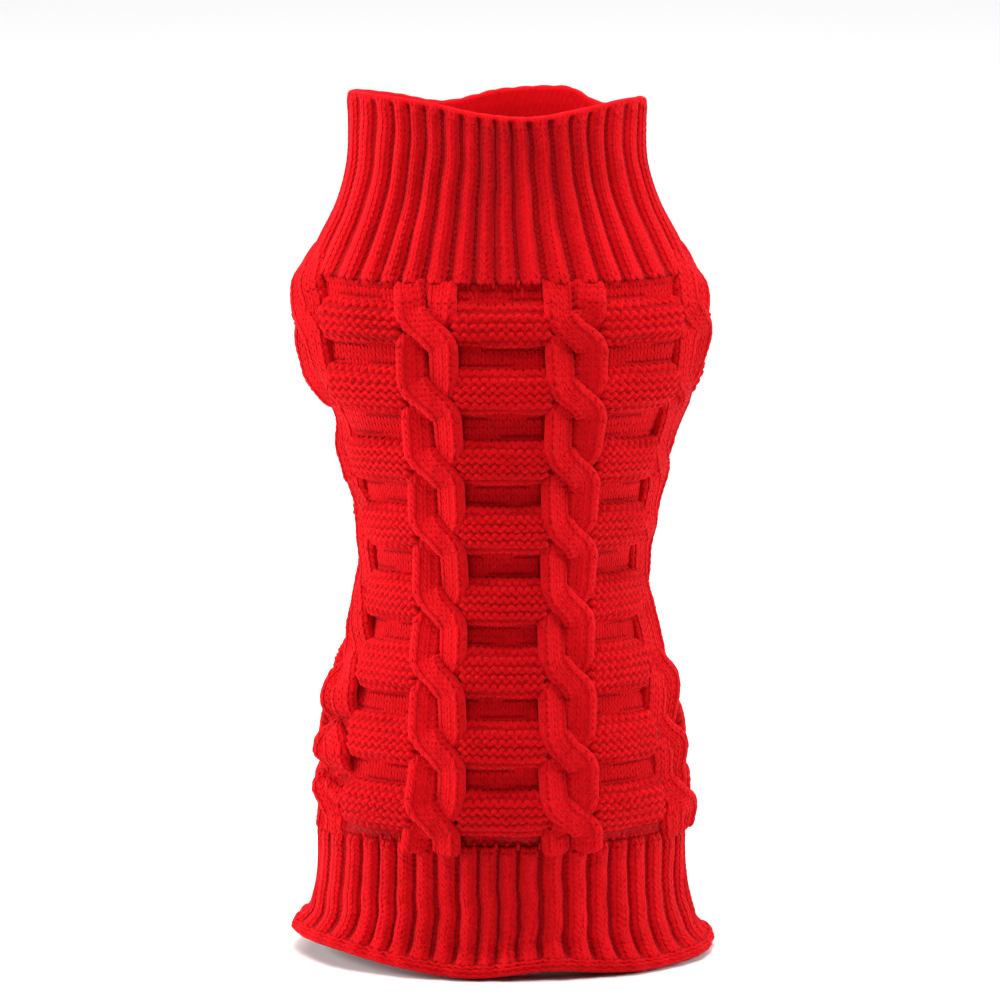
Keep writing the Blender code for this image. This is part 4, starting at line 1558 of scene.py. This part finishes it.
def band_point(side, share, inward, out):
    radius = LEG_HOLE_RADIUS - inward
    spread, height = leg_outline(side, radius, 2 * np.pi * share)
    return belly_point(spread, height, out)


def band_surface(side):
    """The ribbed side of one band, from (share round the opening, share of its height)."""
    def surface(share, up):
        ribs = rib_profile(share - 0.5, 0.0, LEG_BAND_RIBS)
        inward = BAND_GAP + (1 - ribs) * 0.9 * MM + 0.4 * MM * ramp(up, 0.85, 0.15) ** 2
        return band_point(side, share, inward, -0.5 * MM + up * (BAND_HEIGHT + 0.5 * MM))

    return surface


def build_band(name, side):
    shares = np.arange(BAND_COLUMNS) / BAND_COLUMNS
    surface = band_surface(side)
    loops = [band_point(side, shares, BAND_GAP, -WALL)]
    loops += [surface(shares, up) for up in np.linspace(0.0, 1.0, 9)]
    for inward, out in BAND_ROUND_END:
        loops.append(band_point(side, shares, inward, BAND_HEIGHT + out))
    for out in (BAND_HEIGHT, BAND_HEIGHT / 2, -WALL):
        loops.append(band_point(side, shares, BAND_GAP + BAND_WALL, out))
    band = ring_wall(name + "_shell", loops, LEG_BAND_RIBS * 3, 12)
    face_outwards(band)
    turn, _, wale = rib_wales(LEG_BAND_RIBS, np.array([0.0]))
    share, up = every(turn + 0.5, BAND_ROWS)
    legs = lay_legs(name + "_stitches", stitch_legs(surface, share, up, wale, 0.28), seed=17 + side)
    return band, legs


left_band, left_band_legs = build_band("left_leg_band", -1)
right_band, right_band_legs = build_band("right_leg_band", 1)

# %% [markdown]
# ## Sewing and edges
# The pieces are linked together with the same yarn. At each seam short stitches cross from one
# piece to the other, sunk between the rows. The hem's lip is a few rows of purl, which is what
# makes it roll outwards, so it gets wavy rows of yarn like the bars, only finer.

# %% Seam stitches and the hem's lip
SEAM_SIZE = (1.5 * MM, 1.1 * MM, 3.8 * MM)
SEAM_REACH = 2 * MM
RING_SINK = -0.9 * MM
SIDE_STAND = 0.1 * MM


def crossing_legs(line_surface, places):
    """Short legs that cross a seam. line_surface gives (place along it, distance across it)."""
    low = line_surface(places, np.full_like(places, -SEAM_REACH))
    high = line_surface(places, np.full_like(places, SEAM_REACH))
    middle = line_surface(places, np.zeros_like(places))
    ahead = line_surface(places + 1e-4, np.zeros_like(places))
    direction = unit(high - low)
    outward = unit(np.cross(unit(ahead - middle), direction))
    radial = middle * np.array([1.0, 1.0, 0.0])
    flip = np.sign((outward * radial).sum(axis=-1, keepdims=True))
    sizes = np.tile(np.array(SEAM_SIZE), (len(places), 1))
    return {"centre": middle, "along": direction, "outward": outward * flip, "size": sizes}


def ring_seam(height, out):
    def surface(turn, across):
        return cloth_point(turn, height + across, folds(turn, height) + out)

    return surface


def side_seam(side, out):
    def surface(height, across):
        return panel_point(side * SIDE_SEAM + across, height, out)

    return surface


def sewn_turns(ribs):
    """Two seam stitches for each rib, all round."""
    return (np.arange(2 * ribs) + 0.5) / (2 * ribs) - 0.5


side_heights = np.arange(-3.0, -200.0, -2.5) * MM
seam_lines = (
    (ring_seam(COLLAR_SEAM, RING_SINK), sewn_turns(COLLAR_RIBS)),
    (ring_seam(HEM_SEAM, RING_SINK), sewn_turns(HEM_RIBS)),
    (side_seam(-1, SIDE_STAND), side_heights),
    (side_seam(1, SIDE_STAND), side_heights),
)
seam_legs = lay_legs(
    "seam_stitches",
    together(*[crossing_legs(line, places) for line, places in seam_lines]),
    seed=19,
)


LIP_STEPS = np.array([3.3, 3.95, 4.6, 5.25, 5.9])
LIP_STITCHES = 112
LIP_YARN = 0.80 * MM


def lip_lines():
    """Closed purl rows round the rolled lip of the hem."""
    turns = np.arange(LIP_STITCHES * 5 + 1) / (LIP_STITCHES * 5) - 0.5
    lines = []
    for row, step in enumerate(LIP_STEPS):
        phase = turns * LIP_STITCHES * 2 * np.pi + 0.9 * row
        size = 1 + 0.3 * np.sin(2 * np.pi * turns * 7 + row) * np.sin(2 * np.pi * turns * 31 + 2 * row)
        lines.append(roll_surface(turns, step + 0.13 * size * np.cos(phase)))
    return lines


lip_yarn = spin("hem_lip_rows", lip_lines(), LIP_YARN)

# %% [markdown]
# ## Tie every piece to the model
# Each shell takes the place of its plain piece, and the yarn on it rides along. A shell is a sheet of
# cloth, and the ratio of its surface to the flat size that it was knitted to is printed.

# %% Materials on shells, riding, and the stretch of each sheet
# Every shell wears the darker ground wool, which is painted shade where it shows between stitches and in
# hollows.
for shell in (collar_shell, back_shell, belly_shell, hem_shell, left_band, right_band):
    shell.data.materials.append(SHADED_GROUND_WOOL)
cable_strands.data.materials.append(SMOOTH_WOOL)
# The inside and the rim of the collar take the brighter wool, which is painted light; the outside keeps the
# painted shade of the ground.
collar_shell.data.materials.append(LIT_INSIDE_WOOL)
loop_numbers = np.arange(len(collar_shell.data.polygons)) // COLLAR_COLUMNS
painted_shade_light_slots = (loop_numbers >= len(COLLAR_LEVELS) - 1).astype(np.int32)
collar_shell.data.polygons.foreach_set("material_index", painted_shade_light_slots)

back_yarn = [cable_strands, cable_legs, bar_yarn, space_legs, seam_legs]
DRESSED = {
    "collar": ("collar_knit", collar_shell, [collar_legs], (0.335, 0.066)),
    "back_panel": ("back_knit", back_shell, back_yarn, (0.245, 0.215)),
    "belly_panel": ("belly_knit", belly_shell, [belly_legs], (0.130, 0.205)),
    "hem_band": ("hem_knit", hem_shell, [hem_legs, lip_yarn], (0.400, 0.062)),
    "left_leg_band": ("leg_band_knit", left_band, [left_band_legs], (0.115, 0.012)),
    "right_leg_band": ("leg_band_knit", right_band, [right_band_legs], (0.115, 0.012)),
}
SHEET_AREA = {"belly_panel": 0.0185}
for node_name, (slot_name, shell, yarn, flat) in DRESSED.items():
    for piece in (shell, *yarn):
        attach(piece, "root")
    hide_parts(node_name)
    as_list(yarn)
    surface = sum(face.area for face in shell.data.polygons) / 2
    cut = SHEET_AREA.get(node_name) or flat[0] * flat[1]
    print(node_name, "surface over both faces of the cut:", round(surface / cut, 2))

# %% [markdown]
# ## Floor, light and camera
# The light is a plain studio. A large soft panel overhead and behind whitens the floor and skims
# the top of every bar. Two soft boxes stand beside the sweater, so its flanks are bright, its
# middle is darker, and the cables shade the hollows between the bars. A small near box above
# the front brightens the chest more than the hem. The camera has a long lens and looks slightly
# down.

# %% Build the studio
def add_area_light(name, place, size, power, aim):
    data = bpy.data.lights.new(name, "AREA")
    data.shape = "SQUARE"
    data.size = size
    data.energy = power
    light = put_in_scene(name, data)
    light.location = place
    light.rotation_euler = (Vector(aim) - Vector(place)).to_track_quat("-Z", "Y").to_euler()


FLOOR_HEIGHT = -0.2508
FLOOR_HALF = 3.0
corners = FLOOR_HALF * np.array([(-1, -1, 0), (1, -1, 0), (1, 1, 0), (-1, 1, 0)])
floor = add_mesh("floor", corners + np.array([0.0, 0.0, FLOOR_HEIGHT]), np.array([[0, 1, 2, 3]]))
floor_paint = bpy.data.materials.new("pale_floor")
floor_paint.use_nodes = True
floor_shader = floor_paint.node_tree.nodes["Principled BSDF"]
floor_shader.inputs["Base Color"].default_value = (0.9, 0.9, 0.9, 1.0)
floor_shader.inputs["Roughness"].default_value = 0.9
floor.data.materials.append(floor_paint)

MIDDLE = (0.0, 0.0, -0.09)
add_area_light("left_softbox", (-1.5, 0.0, 0.3), 0.7, 29.0, MIDDLE)
add_area_light("right_softbox", (1.5, 0.0, 0.3), 0.7, 19.5, MIDDLE)
add_area_light("near_top_box", (-0.05, -0.45, 0.95), 0.5, 11.0, MIDDLE)
add_area_light("top_panel", (0.0, 1.8, 2.2), 4.2, 122.0, (0.0, 1.8, 0.0))
world = bpy.data.worlds.new("pale_room")
world.use_nodes = True
background = world.node_tree.nodes["Background"]
background.inputs["Color"].default_value = (1.0, 1.0, 1.0, 1.0)
background.inputs["Strength"].default_value = 0.04
bpy.context.scene.world = world
bpy.context.scene.view_settings.view_transform = "Standard"

CAMERA_DISTANCE = 2.6
CAMERA_TILT = math.radians(11.5)
TARGET = Vector((-0.0005, 0.0, -0.085))
camera_data = bpy.data.cameras.new("camera")
camera_data.lens = 260.0
camera_data.sensor_width = 36.0
camera = put_in_scene("camera", camera_data)
camera.location = TARGET + CAMERA_DISTANCE * Vector((0.0, -math.cos(CAMERA_TILT), math.sin(CAMERA_TILT)))
camera.rotation_euler = (TARGET - camera.location).to_track_quat("-Z", "Y").to_euler()
bpy.context.scene.camera = camera
print("lights:", [light.name for light in bpy.data.lights])
